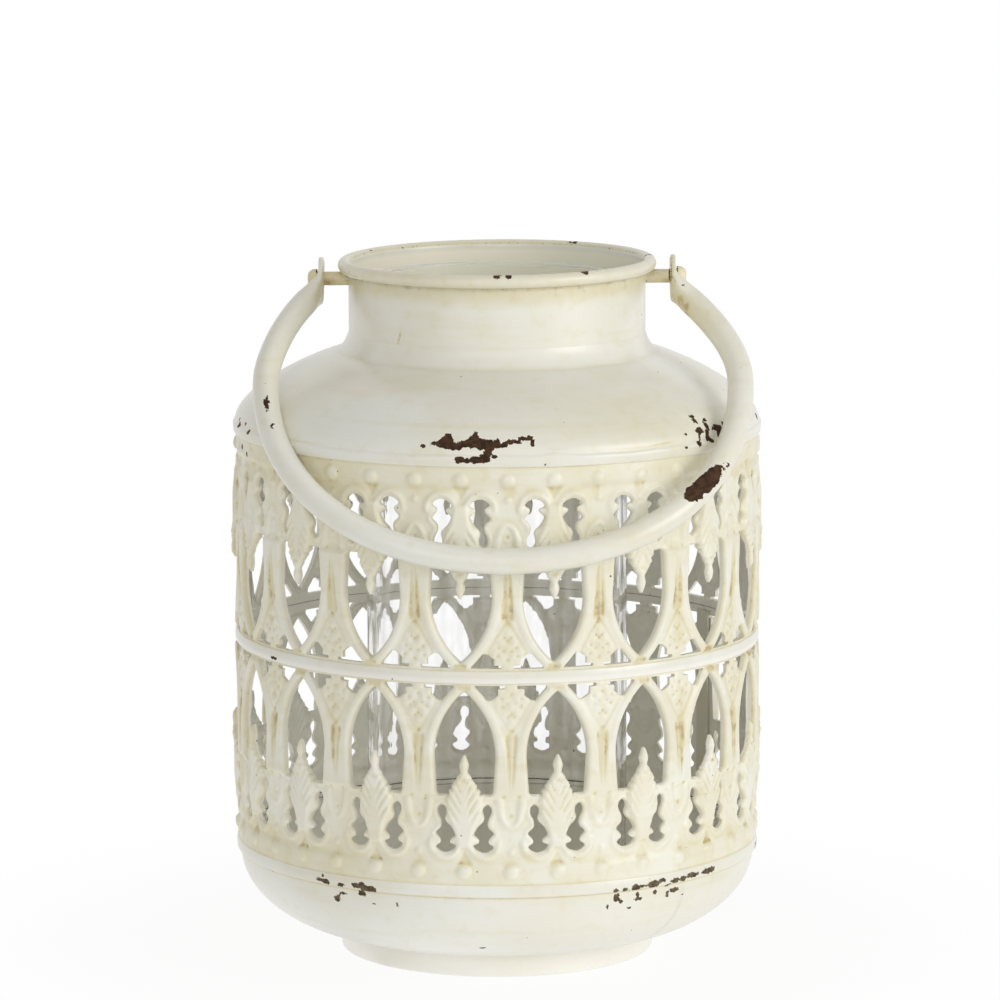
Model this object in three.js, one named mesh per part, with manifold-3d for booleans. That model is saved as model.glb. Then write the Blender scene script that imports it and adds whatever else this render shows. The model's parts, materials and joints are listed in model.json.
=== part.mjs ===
// Iron lantern with a swinging bail and a lift-out glass, in millimetres, +Z up.
// The foot stands at z = 0 on the Z axis, and the photographed side faces -Y.

import * as THREE from 'three';
import { mergeVertices } from 'three/addons/utils/BufferGeometryUtils.js';
import Module from 'manifold-3d';

const wasm = await Module();
wasm.setup();

// Clearances
const gap = 0.3;
const glassClearance = 0.7;
const pinClearance = 0.3;

// Foot and bowl
const footRadius = 68;
const footTaper = 0.8;
const footHeight = 9.6;
const footWall = 1.2;
const bowlWall = 1.2;
const bowlDepth = 34.3;
const bowlSidePull = 18.5;
const bowlFloorPull = 21.2;
const beadHeight = 5.7;

// Filigree bands, the same strip for both
const bandRadius = 110.4;
const bandWall = 1.3;
const bandHeight = 89.2;
const bandTuck = 1.5;
const edgeProud = 2.2;
const hoopHeight = 5.4;
const hoopThickness = 1.9;
const strapWidth = 8;
const strapThickness = 1;
const lowerBandTurn = 13;
const upperBandTurn = 12.2;

// Ornament of one period, with heights from the strip's visible edge beside the bead
const periods = 18;
const archSill = 38.1;
const archHalfSill = 11.8;
const archHalfWidth = 12.8;
const archRadius = 35.9;
const holeAxis = 8.6;
const holeFoot = 13.8;
const holeHeight = 20;
const holeHalfWidth = 3.9;
const tipHeight = 6.3;
const tipReach = 8.4;
const railHalfWidth = 2.3;
const leafFoot = 16;
const leafHeight = 39.5;
const leafHalfWidth = 7.5;
const leafThickness = 1.8;
const leafCurl = 2.6;
const bossHeight = 5.4;
const bossRadius = 2.4;
const bossProud = 1.6;
const seamPeriod = 5;

// Ornament that keeps its distance from the strip's other edge, behind the hoop
const edgeRail = 3.4;
const archDrop = 33.5;

// Shoulder, neck and rolled rim
const shoulderWall = 1.1;
const lipHeight = 4.8;
const domeHeight = 29.4;
const domeSidePull = 11.2;
const domeTopPull = 14.9;
const domeTopSlope = 14.2;
const filletRadius = 5.2;
const filletHeight = 8.5;
const neckRadius = 63.5;
const neckWall = 1;
const neckHeight = 28.2;
const lapHeight = 8;
const curlRadius = 2.8;
const wireRadius = 1.5;

// Glass, tray and rivets
const glassRadius = 55.9;
const glassWall = 2.4;
const glassDrop = 8.2;
const trayWall = 1;
const trayRim = 12;
const rivetCircle = 45;
const rivetRadius = 1.5;
const rivetHead = 3;
const rivetHeadHeight = 0.8;
const rivetCount = 3;

// Bail and its pins
const bailTube = 5.5;
const bailHalfWidth = 100;
const bailReach = 159.2;
const bailBelly = 60.2;
const bailRoundness = 0.59;
const bailClearance = 0.54;
const tabSpan = 75.2;
const tabThickness = 2.6;
const tabRadius = 9;
const tabLength = 6;
const tabBlend = 12;
const pinRadius = 2.8;
const pinHeadRadius = 4.2;
const pinHeadHeight = 4.2;
const pinTailRadius = 3.9;
const pinTailHeight = 1.2;

// Facets
const ringFacets = 48;
const wireFacets = 36;
const pinFacets = 12;
const bailSides = 10;

// Heights that follow from the sizes
const bowlUnder = footHeight + gap;
const floorTop = bowlUnder + bowlWall;
const beadBottom = bowlUnder + bowlDepth;
const beadTop = beadBottom + beadHeight;
const bowlLedge = beadTop - bandTuck - gap;
const lowerBandFoot = bowlLedge + gap;
const hoopCentre = lowerBandFoot + bandHeight + gap / 2;
const upperBandTop = hoopCentre + gap / 2 + bandHeight;
const shoulderLedge = upperBandTop + gap;
const lipBottom = shoulderLedge - bandTuck - gap;
const shoulderEdge = lipBottom + lipHeight;
const filletFoot = shoulderEdge + domeHeight;
const neckFoot = filletFoot + filletHeight;
const curlCentre = neckFoot + neckHeight;
const rimTop = curlCentre + curlRadius;
const pinHeight = curlCentre - curlRadius - gap - pinRadius;
const trayFloor = floorTop + gap;
const trayTop = trayFloor + trayWall;
const glassFoot = trayTop + gap;
const glassTop = rimTop - glassDrop;
const edgeRadius = bandRadius + edgeProud;
const seatRadius = bandRadius + 2 * gap;
const bandInside = bandRadius - bandWall;
const neckInside = neckRadius - neckWall;
const curlRing = neckInside + curlRadius;
const periodAngle = THREE.MathUtils.degToRad(360 / periods);
const columnOffset = (bandRadius * periodAngle) / 2;
const tipTop = bandHeight - bandTuck - edgeRail;
const tipFoot = tipTop - tipHeight;
const archSpring = bandHeight - bandTuck - archDrop;

// Materials
const paint = (color, roughness = 0.5) =>
  new THREE.MeshStandardMaterial({ color, roughness, metalness: 0.1 });
const creamPaint = paint(0xe4e1d4);
const wornPaint = paint(0xdcd6c2, 0.6);
const barePlate = paint(0x9d9c90, 0.6);
const ironWire = new THREE.MeshStandardMaterial({ color: 0x4a3a33, roughness: 0.7, metalness: 0.8 });
const clearGlass = new THREE.MeshStandardMaterial({
  color: 0xe8f0ee,
  roughness: 0.05,
  metalness: 0,
  transparent: true,
  opacity: 0.3,
});

const point = (x, y) => new THREE.Vector2(x, y);

// Turns a three.js geometry into a solid that can be cut and joined
function solid(geometry) {
  const bare = geometry.clone();
  bare.deleteAttribute('normal');
  bare.deleteAttribute('uv');
  const merged = mergeVertices(bare, 1e-4);
  const corners = [];
  for (let i = 0; i < merged.index.count; i += 3) {
    const face = [0, 1, 2].map((k) => merged.index.getX(i + k));
    if (new Set(face).size === 3) corners.push(...face);
  }
  return new wasm.Manifold(new wasm.Mesh({
    numProp: 3,
    vertProperties: new Float32Array(merged.attributes.position.array),
    triVerts: new Uint32Array(corners),
  }));
}

// Turns a solid back into a geometry
function shell(body) {
  const mesh = body.getMesh();
  const geometry = new THREE.BufferGeometry();
  geometry.setAttribute('position', new THREE.BufferAttribute(new Float32Array(mesh.vertProperties), 3));
  geometry.setIndex(new THREE.BufferAttribute(new Uint32Array(mesh.triVerts), 1));
  geometry.computeVertexNormals();
  return geometry;
}

// Turns a closed outline of radius and height round the Z axis
function turned(outline, facets) {
  const points = THREE.ShapeUtils.area(outline) < 0 ? [...outline].reverse() : outline;
  const onAxis = points[0].x === 0;
  const closed = onAxis ? points : [...points, points[0].clone()];
  return new THREE.LatheGeometry(closed, facets).rotateX(Math.PI / 2);
}

// Stands a flat outline on the front of the object, pushed outwards from radius by depth
function outward(outline, radius, depth, curveSegments = 2) {
  const geometry = new THREE.ExtrudeGeometry(outline, { depth, bevelEnabled: false, curveSegments });
  return geometry.translate(0, 0, radius).rotateX(Math.PI / 2);
}

// Points of a curve, with the same curve pushed sideways by a wall
function walled(curve, steps, wall) {
  const outer = curve.getPoints(steps);
  const inner = outer.map((spot, i) => {
    const along = curve.getTangent(i / steps);
    return point(spot.x - wall * along.y, spot.y + wall * along.x);
  });
  return { outer, inner };
}

// Foot: a pan with a flat floor, brazed under the bowl
function footPan() {
  return turned([
    point(0, 0),
    point(footRadius - footTaper, 0),
    point(footRadius, footHeight),
    point(footRadius - footWall, footHeight),
    point(footRadius - footTaper - footWall, footWall),
    point(0, footWall),
  ], ringFacets);
}

// Places of the tray's rivets
function rivetSpots() {
  return Array.from({ length: rivetCount }, (_, i) => {
    const turn = Math.PI / 2 + (i * 2 * Math.PI) / rivetCount;
    return point(rivetCircle * Math.cos(turn), rivetCircle * Math.sin(turn));
  });
}

function rivetHoles(body) {
  const reach = trayTop + trayRim;
  return rivetSpots().reduce((left, spot) => {
    const drill = new THREE.CylinderGeometry(rivetRadius + gap, rivetRadius + gap, reach, pinFacets);
    drill.rotateX(Math.PI / 2).translate(spot.x, spot.y, floorTop);
    return left.subtract(solid(drill));
  }, body);
}

// Bowl: floor, curved wall, raised bead and the ledge that carries the lower band
function baseBowl() {
  const sideTop = point(edgeRadius - edgeProud + gap, beadBottom);
  const sideFoot = point(footRadius, bowlUnder);
  const side = new THREE.CubicBezierCurve(
    sideFoot,
    point(sideFoot.x + bowlFloorPull, sideFoot.y + bowlFloorPull / 12),
    point(sideTop.x, sideTop.y - bowlSidePull),
    sideTop,
  );
  const { outer, inner } = walled(side, 5, bowlWall);
  inner[inner.length - 1].y = beadBottom;
  const ledgeInside = bandInside - gap;
  return shell(rivetHoles(solid(turned([
    point(0, bowlUnder),
    ...outer,
    point(edgeRadius - gap, beadBottom),
    point(edgeRadius, beadBottom + beadHeight / 2),
    point(edgeRadius - gap, beadTop),
    point(seatRadius, beadTop),
    point(seatRadius, bowlLedge),
    point(ledgeInside, bowlLedge),
    ...inner.slice(1).reverse(),
    point(footRadius, floorTop),
    point(0, floorTop),
  ], ringFacets))));
}

// Tray on the bowl's floor, its rim round the foot of the glass
function candleTray() {
  const rimInside = glassRadius + glassClearance;
  return shell(rivetHoles(solid(turned([
    point(0, trayFloor),
    point(rimInside + trayWall, trayFloor),
    point(rimInside + trayWall, trayFloor + trayRim),
    point(rimInside, trayFloor + trayRim),
    point(rimInside, trayTop),
    point(0, trayTop),
  ], ringFacets))));
}

// Rivet through tray and bowl
function trayRivet() {
  const bottom = bowlUnder - gap;
  const top = trayTop + gap;
  return turned([
    point(0, bottom - rivetHeadHeight),
    point(rivetHead, bottom - rivetHeadHeight),
    point(rivetHead, bottom),
    point(rivetRadius, bottom),
    point(rivetRadius, top),
    point(rivetHead, top),
    point(rivetHead * 0.7, top + rivetHeadHeight),
    point(0, top + rivetHeadHeight),
  ], pinFacets / 2);
}

// Glass: an open tube that stands in the tray
function glassCylinder() {
  return turned([
    point(glassRadius, glassFoot),
    point(glassRadius, glassTop),
    point(glassRadius - glassWall, glassTop),
    point(glassRadius - glassWall, glassFoot),
  ], ringFacets);
}

// Pointed arch between two columns
function archOutline() {
  const spring = bandTuck + archSpring;
  const half = Math.acos((archRadius - archHalfWidth) / archRadius);
  const outline = new THREE.Shape();
  outline.moveTo(-archHalfSill, bandTuck + archSill);
  outline.lineTo(archHalfSill, bandTuck + archSill);
  outline.lineTo(archHalfWidth, spring);
  outline.absarc(archHalfWidth - archRadius, spring, archRadius, 0, half, false);
  outline.absarc(archRadius - archHalfWidth, spring, archRadius, Math.PI - half, Math.PI, false);
  return outline;
}

// Teardrop with a round head, a belly, a pinch and a foot, one each side of the leaf
function teardropOutline(side) {
  const foot = bandTuck + holeFoot;
  const at = (across, up) => point(side * (holeAxis + across * holeHalfWidth), foot + up * holeHeight);
  const outline = [
    at(0.4, 1), at(0.4, 0.7), at(0.9, 0.4), at(0.35, 0.25), at(0.7, 0), at(-1, 0),
    at(-0.6, 0.25), at(-1.15, 0.42), at(-0.4, 0.66),
  ];
  return new THREE.Shape(side > 0 ? outline.reverse() : outline);
}

// Spandrel opening beside a column's head, under the hoop
function tipOutline(side) {
  const at = (fromColumn, up) => point(side * (columnOffset - fromColumn), bandTuck + up);
  const outline = [
    at(railHalfWidth, tipTop), at(tipReach * 0.64, (tipTop + tipFoot) / 2), at(tipReach, tipFoot),
    at(tipReach + tipHeight, tipTop),
  ];
  return new THREE.Shape(side > 0 ? outline.reverse() : outline);
}

// Leaf over the foot of the arch, its tip curling outwards
function leaf() {
  const foot = bandTuck + leafFoot;
  const halves = [[0.2, 0], [1, 0.48], [0.7, 0.7], [0.2, 0.86]];
  const at = (side, [across, up]) => point(side * across * leafHalfWidth, foot + up * leafHeight);
  const outline = new THREE.Shape([
    ...halves.map((half) => at(1, half)),
    point(0, foot + leafHeight),
    ...halves.reverse().map((half) => at(-1, half)),
  ]);
  const geometry = outward(outline, bandRadius - bandWall / 2, bandWall / 2 + leafThickness);
  const spots = geometry.attributes.position;
  const free = leafFoot + leafHeight - archSill;
  for (let i = 0; i < spots.count; i += 1) {
    const past = Math.max(0, (spots.getZ(i) - bandTuck - archSill) / free);
    spots.setY(i, spots.getY(i) - leafCurl * past * past);
  }
  return solid(geometry);
}

// Low domed boss
function boss(across) {
  const geometry = new THREE.ConeGeometry(bossRadius, bossProud + bandWall / 2, 6);
  geometry.translate(0, bandRadius + (bossProud - bandWall / 2) / 2, 0);
  geometry.rotateX(Math.PI).translate(0, 0, bandTuck + bossHeight);
  return solid(geometry.rotateZ(across));
}

// One pressed strip, rolled to a ring and open at its seam
function filigreeBand() {
  const archAngle = archHalfWidth / bandRadius;
  const facetTurns = Array.from({ length: periods }, (_, i) => i * periodAngle)
    .flatMap((turn) => [turn - archAngle, turn, turn + archAngle]);
  const circle = (radius) =>
    facetTurns.map((turn) => point(radius * Math.sin(turn), -radius * Math.cos(turn)));
  const sheet = new THREE.Shape(circle(bandRadius));
  sheet.holes.push(new THREE.Path(circle(bandInside).reverse()));
  const ring = new THREE.ExtrudeGeometry(sheet, { depth: bandHeight, bevelEnabled: false });

  const cutterDepth = 8 * bandWall;
  const cut = (outline) => solid(outward(outline, bandInside - cutterDepth / 2, cutterDepth));
  const holes = [
    cut(archOutline()),
    ...[-1, 1].flatMap((side) => [cut(teardropOutline(side)), cut(tipOutline(side))]),
  ];
  const relief = [leaf(), boss(0), boss(periodAngle / 2)];

  const turns = Array.from({ length: periods }, (_, i) => (i * 360) / periods);
  const around = (parts) => turns.flatMap((turn) => parts.map((part) => part.rotate([0, 0, turn])));
  const pierced = solid(ring).subtract(wasm.Manifold.union(around(holes)));
  const pressed = pierced.add(wasm.Manifold.union(around(relief)));
  const slit = new THREE.BoxGeometry(gap, edgeProud + 2 * bandWall, 2 * bandHeight);
  slit.translate(0, -bandRadius, bandHeight).rotateZ((seamPeriod + 0.5) * periodAngle);
  return shell(pressed.subtract(solid(slit)));
}

// Strip inside a band's seam
function seamStrap() {
  const radius = bandInside - gap - strapThickness / 2;
  const height = bandHeight - 2 * bandTuck;
  const geometry = new THREE.BoxGeometry(strapWidth, strapThickness, height);
  geometry.translate(0, -radius, bandHeight / 2);
  return geometry.rotateZ((seamPeriod + 0.5) * periodAngle);
}

// Half-round hoop over the joint of the bands
function middleHoop() {
  const inside = bandRadius + gap;
  const outside = inside + hoopThickness;
  const half = hoopHeight / 2;
  return turned([
    point(inside, -half),
    point(inside + hoopThickness * 0.6, -half),
    point(outside, -half * 0.4),
    point(outside, half * 0.4),
    point(inside + hoopThickness * 0.6, half),
    point(inside, half),
  ], ringFacets);
}

// Outer curves of the shoulder, from the lip to the neck
function shoulderCurves() {
  const slope = THREE.MathUtils.degToRad(domeTopSlope);
  const domeFoot = point(edgeRadius - gap, shoulderEdge);
  const domeTop = point(neckRadius + filletRadius, filletFoot);
  const dome = new THREE.CubicBezierCurve(
    domeFoot,
    point(domeFoot.x, domeFoot.y + domeSidePull),
    point(domeTop.x + domeTopPull * Math.cos(slope), domeTop.y - domeTopPull * Math.sin(slope)),
    domeTop,
  );
  const filletTop = point(neckRadius, neckFoot - gap);
  const fillet = new THREE.QuadraticBezierCurve(domeTop, point(neckRadius, filletFoot), filletTop);
  return { dome, fillet };
}

// Shoulder: lip, dome, fillet and the collar that the neck slides over
function shoulderDome() {
  const { dome, fillet } = shoulderCurves();
  const domeWall = walled(dome, 5, shoulderWall);
  const filletWall = walled(fillet, 2, shoulderWall);
  const collarRadius = neckInside - gap;
  const collarTop = neckFoot + lapHeight;
  const collarInside = collarRadius - shoulderWall;
  const ledgeInside = bandInside - gap;
  return turned([
    point(edgeRadius - gap, lipBottom),
    ...domeWall.outer,
    ...filletWall.outer.slice(1),
    point(collarRadius, neckFoot - gap),
    point(collarRadius, collarTop),
    point(collarInside, collarTop),
    point(collarInside, neckFoot - gap),
    ...filletWall.inner.slice(0, -1).reverse(),
    ...domeWall.inner.slice(1, -1).reverse(),
    point(ledgeInside, shoulderEdge),
    point(ledgeInside, shoulderLedge),
    point(seatRadius, shoulderLedge),
    point(seatRadius, lipBottom),
  ], ringFacets);
}

// Neck tube with its edge rolled outwards round a wire, drilled for the pins
function neckCollar() {
  const curl = (radius) => Array.from({ length: 6 }, (_, i) => {
    const turn = Math.PI - (i * Math.PI * 1.5) / 5;
    return point(curlRing + radius * Math.cos(turn), curlCentre + radius * Math.sin(turn));
  });
  const tube = solid(turned([
    point(neckInside, neckFoot),
    ...curl(curlRadius),
    ...curl(curlRadius - neckWall).reverse(),
    point(neckRadius, neckFoot),
  ], ringFacets));
  const drillRadius = pinRadius + pinClearance;
  const drill = new THREE.CylinderGeometry(drillRadius, drillRadius, 4 * neckRadius, pinFacets);
  drill.rotateZ(Math.PI / 2).translate(0, 0, pinHeight);
  return shell(tube.subtract(solid(drill)));
}

function rimWire() {
  const outline = Array.from({ length: 6 }, (_, i) => {
    const turn = (i * Math.PI) / 3;
    return point(curlRing + wireRadius * Math.cos(turn), curlCentre + wireRadius * Math.sin(turn));
  });
  return turned(outline, wireFacets);
}

// Pin along X: tail inside the neck, shank, and a domed head outside the bail's tab
function pivotPin() {
  const tailEnd = neckInside * Math.cos(Math.PI / ringFacets) - gap;
  const headStart = tabSpan + tabThickness / 2 + gap;
  return turned([
    point(0, tailEnd - pinTailHeight),
    point(pinTailRadius, tailEnd - pinTailHeight),
    point(pinTailRadius, tailEnd),
    point(pinRadius, tailEnd),
    point(pinRadius, headStart),
    point(pinHeadRadius, headStart),
    point(pinHeadRadius, headStart + pinHeadHeight * 0.4),
    point(pinHeadRadius * 0.6, headStart + pinHeadHeight * 0.88),
    point(0, headStart + pinHeadHeight),
  ], pinFacets).rotateY(Math.PI / 2);
}

// Half of the bail's centre line as distances across and down from the pivot
function bailCurves() {
  const tabFoot = point(tabSpan, tabLength);
  const belly = point(bailHalfWidth, bailBelly);
  const bottom = point(0, bailReach);
  const swing = bailReach - bailBelly;
  return [
    new THREE.LineCurve(point(tabSpan, -tabRadius), tabFoot),
    new THREE.CubicBezierCurve(
      tabFoot,
      point(tabSpan + tabBlend * 0.55, tabFoot.y + tabBlend * 0.55),
      point(bailHalfWidth, bailBelly * 0.6),
      belly,
    ),
    new THREE.CubicBezierCurve(
      belly,
      point(bailHalfWidth, bailBelly + bailRoundness * swing),
      point(bailRoundness * bailHalfWidth, bailReach),
      bottom,
    ),
  ];
}

// Tilt at which the rod, let down from level, comes to rest at its clearance from the shoulder
function bailRestTilt() {
  const { dome, fillet } = shoulderCurves();
  const outline = [point(edgeRadius, hoopCentre), ...dome.getPoints(20), ...fillet.getPoints(6)];
  const walls = outline.slice(1).map((end, i) => new THREE.Line3(
    new THREE.Vector3(outline[i].x, outline[i].y),
    new THREE.Vector3(end.x, end.y),
  ));
  const rod = bailCurves().slice(1).flatMap((curve) => curve.getPoints(40));
  const nearest = new THREE.Vector3();
  const clearance = (tilt) => Math.min(...rod.flatMap(({ x, y }) => {
    const spot = new THREE.Vector3(Math.hypot(x, y * Math.sin(tilt)), pinHeight - y * Math.cos(tilt));
    return walls.map((wall) => wall.closestPointToPoint(spot, true, nearest).distanceTo(spot));
  })) - bailTube;
  let tilt = Math.PI / 2;
  for (let step = tilt / 32; step > 1e-6; step /= 2) {
    while (clearance(tilt - step) > bailClearance) tilt -= step;
  }
  return tilt;
}

// Stations along the half bail: place, direction and half sizes of the section
function bailStations() {
  const [tab, shoulder, bow] = bailCurves();
  const eased = (x) => x * x * (3 - 2 * x);
  const station = (curve, t) => {
    const centre = curve.getPoint(t);
    const round = eased(THREE.MathUtils.clamp((centre.y - tabLength / 2) / tabBlend, 0, 1));
    const tabWidth = centre.y < 0 ? Math.sqrt(tabRadius ** 2 - centre.y ** 2) : tabRadius;
    return {
      centre,
      along: curve.getTangent(t),
      half: THREE.MathUtils.lerp(tabThickness / 2, bailTube, round),
      width: THREE.MathUtils.lerp(Math.max(tabWidth, tabThickness / 2), bailTube, round),
    };
  };
  return [
    ...[0.01, 0.08, 0.2, 0.38, 0.6, 0.85].map((t) => station(tab, t)),
    ...[0, 0.06, 0.12, 0.18, 0.26, 0.36, 0.5, 0.65, 0.82].map((t) => station(shoulder, t)),
    ...[0, 0.13, 0.26, 0.39, 0.52, 0.66, 0.83, 1].map((t) => station(bow, t)),
  ];
}

// Bail hanging straight down from a pivot at the origin, with its two eyes drilled
function bailHandle() {
  const half = bailStations();
  const mirrored = half.slice(0, -1).reverse().map(({ centre, along, ...size }) => ({
    centre: point(-centre.x, centre.y),
    along: point(along.x, -along.y),
    ...size,
  }));
  const stations = [...half, ...mirrored];
  const steps = stations.length - 1;
  const rod = new THREE.CylinderGeometry(1, 1, 1, bailSides, steps);
  const spots = rod.attributes.position;
  for (let i = 0; i < spots.count; i += 1) {
    const { centre, along, half: thick, width } = stations[Math.round((0.5 - spots.getY(i)) * steps)];
    const across = spots.getX(i) * thick;
    spots.setXYZ(i, centre.x - along.y * across, spots.getZ(i) * width, -centre.y - along.x * across);
  }
  const eye = new THREE.CylinderGeometry(pinRadius + pinClearance, pinRadius + pinClearance, 4 * tabSpan, pinFacets);
  return shell(solid(rod).subtract(solid(eye.rotateZ(Math.PI / 2))));
}

const lantern = new THREE.Group();

function place(name, geometry, material, height = 0) {
  const mesh = new THREE.Mesh(geometry, material);
  mesh.name = name;
  mesh.position.z = height;
  lantern.add(mesh);
  return mesh;
}

const turnOf = THREE.MathUtils.degToRad;
const band = filigreeBand();
const strap = seamStrap();

place('foot_pan', footPan(), creamPaint);
place('base_bowl', baseBowl(), creamPaint);
place('candle_tray', candleTray(), barePlate);
rivetSpots().forEach((spot, i) => {
  const rivet = place(`tray_rivet_${i + 1}`, trayRivet(), ironWire);
  rivet.position.set(spot.x, spot.y, 0);
});
place('glass_cylinder', glassCylinder(), clearGlass);
place('lower_filigree_band', band, wornPaint, lowerBandFoot).rotation.z = turnOf(lowerBandTurn);
place('lower_seam_strap', strap, barePlate, lowerBandFoot).rotation.z = turnOf(lowerBandTurn);
place('middle_hoop', middleHoop(), creamPaint, hoopCentre);
place('upper_filigree_band', band, wornPaint, upperBandTop).rotation.set(0, Math.PI, turnOf(-upperBandTurn));
place('upper_seam_strap', strap, barePlate, upperBandTop).rotation.set(0, Math.PI, turnOf(-upperBandTurn));
place('shoulder_dome', shoulderDome(), creamPaint);
place('neck_collar', neckCollar(), creamPaint);
place('rim_wire', rimWire(), ironWire);
place('right_pivot_pin', pivotPin(), wornPaint, pinHeight);
place('left_pivot_pin', pivotPin(), wornPaint, pinHeight).rotation.z = Math.PI;
place('bail_handle', bailHandle(), creamPaint, pinHeight).rotation.x = -bailRestTilt();

export default lantern;
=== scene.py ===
# Looks of the cream painted iron lantern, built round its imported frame.
# Sizes in the settings are millimetres; meshes are made in metres.
import json
import math

import bmesh
import bpy
import numpy as np
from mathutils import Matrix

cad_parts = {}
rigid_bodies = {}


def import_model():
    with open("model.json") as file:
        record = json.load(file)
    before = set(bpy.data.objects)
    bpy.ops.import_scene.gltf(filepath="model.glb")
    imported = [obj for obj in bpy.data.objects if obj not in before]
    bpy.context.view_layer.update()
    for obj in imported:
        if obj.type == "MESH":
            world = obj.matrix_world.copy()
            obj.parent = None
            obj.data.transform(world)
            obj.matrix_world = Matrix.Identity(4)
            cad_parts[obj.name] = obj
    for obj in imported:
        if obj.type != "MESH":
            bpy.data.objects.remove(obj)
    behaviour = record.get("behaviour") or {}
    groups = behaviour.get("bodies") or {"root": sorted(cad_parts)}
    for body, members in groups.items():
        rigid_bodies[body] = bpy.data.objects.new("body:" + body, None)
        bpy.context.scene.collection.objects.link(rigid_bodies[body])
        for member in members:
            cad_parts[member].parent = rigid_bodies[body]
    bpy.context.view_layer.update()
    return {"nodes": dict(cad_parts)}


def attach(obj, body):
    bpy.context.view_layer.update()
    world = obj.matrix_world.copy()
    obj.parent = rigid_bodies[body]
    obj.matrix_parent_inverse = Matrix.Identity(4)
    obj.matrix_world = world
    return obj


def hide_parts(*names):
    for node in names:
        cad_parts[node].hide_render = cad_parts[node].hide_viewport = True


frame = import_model()
mm = 0.001
print("frame loaded:", len(frame["nodes"]), "nodes")


# A value on its way to a shader socket; a sign between two of them adds a Math node
class Value:
    def __init__(self, finish, socket):
        self.finish, self.socket = finish, socket

    def maths(self, operation, first, second=0.0):
        return self.finish.add("Math", {"operation": operation}, {0: first, 1: second})

    def __add__(self, other):
        return self.maths("ADD", self, other)

    def __radd__(self, other):
        return self.maths("ADD", other, self)

    def __sub__(self, other):
        return self.maths("SUBTRACT", self, other)

    def __rsub__(self, other):
        return self.maths("SUBTRACT", other, self)

    def __mul__(self, other):
        return self.maths("MULTIPLY", self, other)

    def __rmul__(self, other):
        return self.maths("MULTIPLY", other, self)


# A material or world whose nodes are added one by one
class Finish:
    def __init__(self, name, owner=None):
        self.owner = owner or bpy.data.materials.new(name)
        self.owner.use_nodes = True
        self.tree = self.owner.node_tree
        self.tree.nodes.clear()

    # settings go on the node first, then the numbers or links of its sockets
    def add(self, kind, settings=None, sockets=None, output=0):
        node = self.tree.nodes.new("ShaderNode" + kind)
        for name, setting in (settings or {}).items():
            setattr(node, name, setting)
        for name, given in (sockets or {}).items():
            if isinstance(given, Value):
                self.tree.links.new(given.socket, node.inputs[name])
            else:
                node.inputs[name].default_value = given
        return Value(self, node.outputs[output]) if len(node.outputs) else None

    # a Mix node's colours are its sockets 6 and 7, and its mixed colour is output 2
    def blend(self, mask, under, over):
        return self.add("Mix", {"data_type": "RGBA"}, {0: mask, 6: under, 7: over}, 2)

    def between(self, value, low, high):
        settings = {"interpolation_type": "SMOOTHSTEP"}
        return self.add("MapRange", settings, {"Value": value, "From Min": low, "From Max": high})

    def noise(self, place, size, detail=3.0, roughness=0.55):
        sockets = {"Vector": place, "Scale": 1 / (size * mm), "Detail": detail, "Roughness": roughness}
        return self.add("TexNoise", None, sockets)

    def place(self):
        return self.add("TexCoord", output="Object")

    def stretched(self, place, factors):
        return self.add("VectorMath", {"operation": "MULTIPLY"}, {0: place, 1: factors})

    def field(self, name):
        return self.add("Attribute", {"attribute_name": name}, output="Fac")

    def rays(self, kind):
        return self.add("LightPath", output="Is %s Ray" % kind)

    def larger(self, first, second):
        return self.add("Math", {"operation": "MAXIMUM"}, {0: first, 1: second})

    def bump(self, height, strength, distance):
        return self.add("Bump", None, {"Strength": strength, "Distance": distance * mm, "Height": height})

    def surface(self, shader):
        self.add("OutputMaterial", None, {"Surface": shader})
        return self.owner


# Screen colour out of 255 to the linear colour that Blender takes
def tint(red, green, blue):
    shares = [c / 255 for c in (red, green, blue)]
    return (*[c / 12.92 if c < 0.04045 else ((c + 0.055) / 1.055) ** 2.4 for c in shares], 1.0)


# Smooth step from nought at low to one at high
def ease(values, low, high):
    share = np.clip((values - low) / (high - low), 0, 1)
    return share * share * (3 - 2 * share)


# Soft hill, one where the distance is nought
def bell(distance, width):
    return np.exp(-((distance / width) ** 2))


# The same round a piece, one at the middle angle
def bellRound(angle, middle, spread):
    return np.exp((np.cos(angle - middle) - 1) / spread)


def hump(distance, radius):
    return np.sqrt(np.clip(1 - (distance / radius) ** 2, 0, 1))


def spotAt(x, y, centre, radius):
    return np.exp(-((x - centre[0]) ** 2 + (y - centre[1]) ** 2) / radius**2)


def radiusOf(spots):
    return np.hypot(spots[:, 0], spots[:, 1])


# Slow waves round the piece, about one high, so that spun and pressed iron isn't perfectly true
def waves(angle, height, seed):
    draw = np.random.default_rng(seed)
    total = np.zeros_like(angle)
    for lobes in (2, 3, 5, 7, 11):
        turn, rise = draw.uniform(0, 6.28), draw.uniform(-0.03, 0.03)
        total += draw.uniform(0.4, 1) * np.sin(lobes * angle + turn + rise * height) / math.sqrt(lobes)
    return total / 2.2


# Moves the points out from the axis by push, in place
def swell(spots, push):
    spots[:, :2] *= (1 + push / np.maximum(radiusOf(spots), 1))[:, None]


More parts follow.
